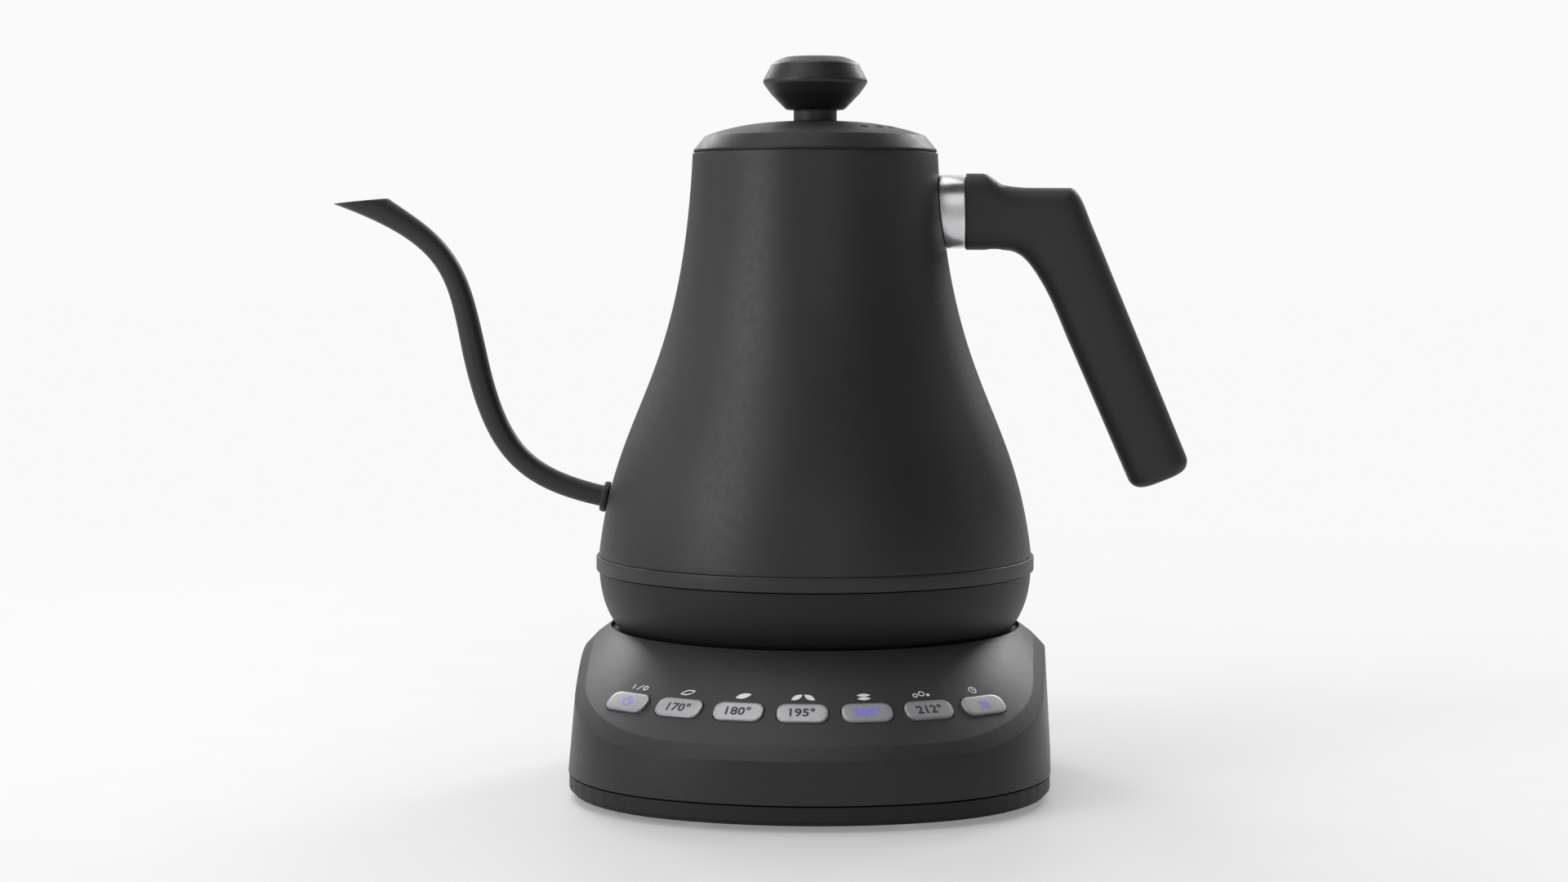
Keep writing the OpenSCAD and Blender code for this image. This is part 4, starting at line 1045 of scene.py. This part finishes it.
def panel_marks():
    """A small generic picture above each key says what its temperature suits."""
    pictures = {
        "power": [line_mark([(-2.6, -0.9), (-2.6, 0.9)], 0.4), ring_mark(2.4, 0, 1.0, 0.38),
                  line_mark([(-0.8, -1.1), (0.8, 1.1)], 0.35)],
        "170": [leaf_mark(0, 0, 5.2, 2.2, 0.35, False)],
        "180": [leaf_mark(0, 0, 5.2, 2.2, 0.35, True)],
        "195": [leaf_mark(-2.0, 0, 4.2, 1.9, 0.6, True), leaf_mark(2.0, 0, 4.2, 1.9, -0.6, True)],
        "205": [leaf_mark(0, 0.75, 4.4, 1.35, 0.0, True), leaf_mark(0, -0.75, 4.4, 1.35, 0.0, True)],
        "212": [ring_mark(-2.2, -0.3, 0.9, 0.35), ring_mark(0.1, 0.3, 1.1, 0.35),
                disc_mark(2.2, -0.4, 0.6)],
        "hold": [ring_mark(0, 0, 1.45, 0.36), line_mark([(0, 0), (0, 0.85)], 0.34),
                 line_mark([(0, 0), (0.75, -0.3)], 0.34)],
    }
    for label, marks in pictures.items():
        above = on_panel(KEY_PLACES[label], KEY_D / 2 + 3.1)
        solid_mark("mark_" + label, marks, above, "base", print_light, 0.03)


base_cover()
for key_label, key_place in KEY_PLACES.items():
    key_cap(key_label, key_place)
key_marks()
panel_marks()


# ---------- cord, plug and feet ----------

CORD_TOP = span("power_cord")[1][2]
PLUG_LOW, PLUG_HIGH = span("plug_body")
CORD_R, CORD_Z, CORD_PITCH, HALF_TURNS = 3.1, 4.8, 7.0, 6
SPIRAL_START = 32.0
DROP, EXIT_TURN, EXIT_BEND, TAIL_BEND, TAIL_Y, RISE = 5.0, 50, 20.0, 18.0, 96.0, 16.0


def cord_stations():
    """Centres along the cord: down through the base, round the well, out at the back and up to the plug."""
    path = [[-SPIRAL_START, -DROP, CORD_TOP]]
    path += [[-SPIRAL_START, -DROP * math.cos(b), CORD_Z + DROP * (1 - math.sin(b))]
             for b in np.radians(np.arange(0, 80, 11.25))]
    last = 180 * HALF_TURNS + EXIT_TURN
    for a in range(0, last + 1, 5):
        r = SPIRAL_START + CORD_PITCH * a / 360
        path.append([-r * math.cos(math.radians(a)), r * math.sin(math.radians(a)), CORD_Z])
    turn = math.radians(EXIT_TURN)
    far = SPIRAL_START + CORD_PITCH * last / 360 + EXIT_BEND
    cx, cy = -far * math.cos(turn), far * math.sin(turn)
    for b in np.radians(np.arange(EXIT_TURN - 5, -1, -5)):
        path.append([cx + EXIT_BEND * math.cos(b), cy - EXIT_BEND * math.sin(b), CORD_Z])
    exit_x = cx + EXIT_BEND
    for y in np.linspace(cy, TAIL_Y, 6)[1:-1]:
        path.append([exit_x, y, CORD_Z])
    for c in np.radians(np.arange(0, 91, 7.5)):
        path.append([exit_x + TAIL_BEND * (1 - math.cos(c)), TAIL_Y + TAIL_BEND * math.sin(c), CORD_Z])
    plug_z = (PLUG_LOW[2] + PLUG_HIGH[2]) / 2
    rise_x, tail_y = exit_x + TAIL_BEND + 8, TAIL_Y + TAIL_BEND
    full = math.acos(1 - (plug_z - CORD_Z) / (2 * RISE))
    plug_x = rise_x + 2 * RISE * math.sin(full)
    for d in full * np.linspace(0, 1, 8):
        path.append([rise_x + RISE * math.sin(d), tail_y, CORD_Z + RISE * (1 - math.cos(d))])
    for d in full * np.linspace(1, 0, 8)[1:]:
        path.append([plug_x - RISE * math.sin(d), tail_y, plug_z - RISE * (1 - math.cos(d))])
    path.append([plug_x + 1.5, tail_y, plug_z])
    return np.array(path), (plug_x, tail_y, plug_z)


def power_cord():
    path, plug_at = cord_stations()
    way = np.gradient(path, axis=0)
    way /= np.linalg.norm(way, axis=1)[:, None]
    m, points = 24, []
    up = np.array([0.0, -1.0, 0.0])
    for p, d in zip(path, way):
        up = up - d * (up @ d)
        up /= np.linalg.norm(up)
        side = np.cross(d, up)
        points += [p + CORD_R * (math.cos(a) * side + math.sin(a) * up)
                   for a in np.arange(m) * 2 * math.pi / m]
    make("cord", points, loft_faces(len(path), m), "base", cord_skin, "power_cord", sharp=50)
    return plug_at


def plug(at):
    """A moulded plug: a ribbed strain relief that swells into a rounded grip with finger grooves."""
    x0, y0, z0 = at
    length = PLUG_HIGH[0] - x0
    half_y, half_z = (PLUG_HIGH[1] - PLUG_LOW[1]) / 2, (PLUG_HIGH[2] - PLUG_LOW[2]) / 2
    rings, m = [], 64
    relief, body = np.linspace(0.1, 13, 60), np.linspace(13.4, length - 1, 50)
    for x in np.concatenate([relief, body, [length - 0.5, length - 0.15]]):
        if x < 13:
            r = 4.3 + 2.2 * x / 14 - (0.45 if (x % 2.2) < 0.7 else 0.0)
            a, b, power = r, r, 2.0
        else:
            t = min(1.0, (x - 13) / 5.5)
            t = t * t * (3 - 2 * t)
            a = 6.3 + (half_y - 6.3) * t
            b = 6.3 + (half_z - 6.3) * t
            groove = 0.5 if x > 19 and (x - 19) % 3 < 1.1 and x < length - 3 else 0.0
            a, b, power = a - groove, b - groove * 0.3, 2.0 + 1.6 * t
        rings += [[x0 + x, y0 + v, z0 + w] for v, w in oval(a, b, power, m)]
    rings += [[x0 + length, y0 + v, z0 + w] for v, w in oval(half_y - 0.9, half_z - 0.9, 3.6, m)]
    make("plug", rings, loft_faces(len(rings) // m, m), "base", cord_skin, "plug_body", sharp=50)


def rubber_feet():
    low, high = span("rubber_feet")
    spots = [(58, -68), (-58, -68), (0, -88), (56, 47), (-56, 47)]
    profile = fillet([(0, low[2]), (4.15, low[2]), (4.15, 0.5), (4.55, 0.5), (4.55, high[2]), (0, high[2])],
                     [0, 0.25, 0.1, 0.1, 0.2, 0], 4)
    points, faces = revolve(profile, 64)
    n = len(points)
    all_points = [[x + sx, y + sy, z] for sx, sy in spots for x, y, z in points]
    all_faces = [tuple(i + k * n for i in f) for k in range(len(spots)) for f in faces]
    make("feet", all_points, all_faces, "base", foot_skin, "rubber_feet")


plug(power_cord())
rubber_feet()


# ---------- stage ----------

def floor():
    """A pale floor that runs far behind the kettle."""
    mesh = bpy.data.meshes.new("floor")
    mesh.from_pydata([(-9, -4, 0), (9, -4, 0), (9, 9, 0), (-9, 9, 0)], [], [(0, 1, 2, 3)])
    obj = add_object("floor", mesh)
    s = Shader("pale_floor")
    s.set(Base_Color=s.ramp(s.noise(40, detail=3), (0.72, 0.72, 0.725), (0.74, 0.74, 0.745)), Roughness=0.55)
    # Far from the kettle the floor fades into the white background
    distance = s.node("VectorMath", operation="LENGTH")
    s.links.new(s.place, distance.inputs[0])
    far = s.range(distance.outputs["Value"], 0.25, 1.0, at=(0.15, 0.9))
    white = s.node("Emission", Color=(0.948, 0.948, 0.952), Strength=1.0)
    mix = s.node("MixShader", Fac=far)
    s.links.new(s.principled.outputs["BSDF"], mix.inputs[1])
    s.links.new(white.outputs["Emission"], mix.inputs[2])
    s.links.new(mix.outputs["Shader"], s.nodes["Material Output"].inputs["Surface"])
    mesh.materials.append(s.mat)


def softbox(name, at, target, width, height, watts):
    light = bpy.data.lights.new(name, "AREA")
    light.shape = "RECTANGLE"
    light.size, light.size_y = width, height
    light.energy = watts
    obj = add_object(name, light)
    obj.location = at
    obj.rotation_euler = (Vector(target) - Vector(at)).to_track_quat("-Z", "Y").to_euler()
    obj.visible_camera = False


FRONT_GLOW, BACK_GLOW = 0.07, 1.0


def world():
    """White all round to the camera. As a light it is bright high behind the kettle and dim elsewhere."""
    made = bpy.data.worlds.new("studio")
    bpy.context.scene.world = made
    t = NodeTree(made)
    parts = t.node("SeparateXYZ", Vector=t.node("TexCoord").outputs["Generated"])
    high = t.range(parts.outputs["Z"], 0.03, 1.0, at=(0.0, 0.27), kind="SMOOTHSTEP")
    behind = t.range(parts.outputs["Y"], 0.0, BACK_GLOW, at=(-0.25, 0.75), kind="SMOOTHSTEP")
    strength = t.node("Math", operation="MULTIPLY_ADD")
    for socket, value in zip(strength.inputs, (high, behind, FRONT_GLOW)):
        t.feed(socket, value)
    lit = t.nodes["Background"]
    t.feed(lit.inputs["Color"], (0.97, 0.98, 1.0))
    t.feed(lit.inputs["Strength"], strength.outputs[0])
    seen = t.node("Background", Color=(0.955, 0.955, 0.96))
    mix = t.node("MixShader", Fac=t.node("LightPath").outputs["Is Camera Ray"])
    t.feed(mix.inputs[1], lit.outputs["Background"])
    t.feed(mix.inputs[2], seen.outputs["Background"])
    t.feed(t.nodes["World Output"].inputs["Surface"], mix.outputs["Shader"])


def camera():
    data = bpy.data.cameras.new("camera")
    data.sensor_width = 36.0
    data.lens = 66.2
    data.clip_end = 50
    obj = add_object("camera", data)
    around = math.radians(2.4)
    distance, height = 0.987, 0.181
    obj.location = (distance * math.sin(around), -distance * math.cos(around), height)
    obj.rotation_euler = (math.radians(90 - 3.889), 0, around + math.radians(0.617))
    bpy.context.scene.camera = obj


floor()
world()
camera()
softbox("key_light", (-2.3, -1.7, 1.38), (0, 0, 0.12), 1.6, 2.4, 44)
softbox("front_light", (0.25, -1.5, 0.6), (0, 0, 0.08), 1.0, 0.6, 2.0)
softbox("left_light", (-2.0, 0.1, 0.75), (0, 0, 0.03), 1.0, 0.8, 3)
softbox("top_light", (-0.35, -0.12, 1.6), (0, 0, 0), 1.3, 1.1, 8)
softbox("back_left_light", (-0.56, 0.98, 0.82), (0, 0, 0.05), 0.4, 0.4, 4.5)
softbox("back_right_light", (0.56, 0.98, 0.82), (0, 0, 0.05), 0.4, 0.4, 4.5)
bpy.context.scene.view_settings.view_transform = "Standard"
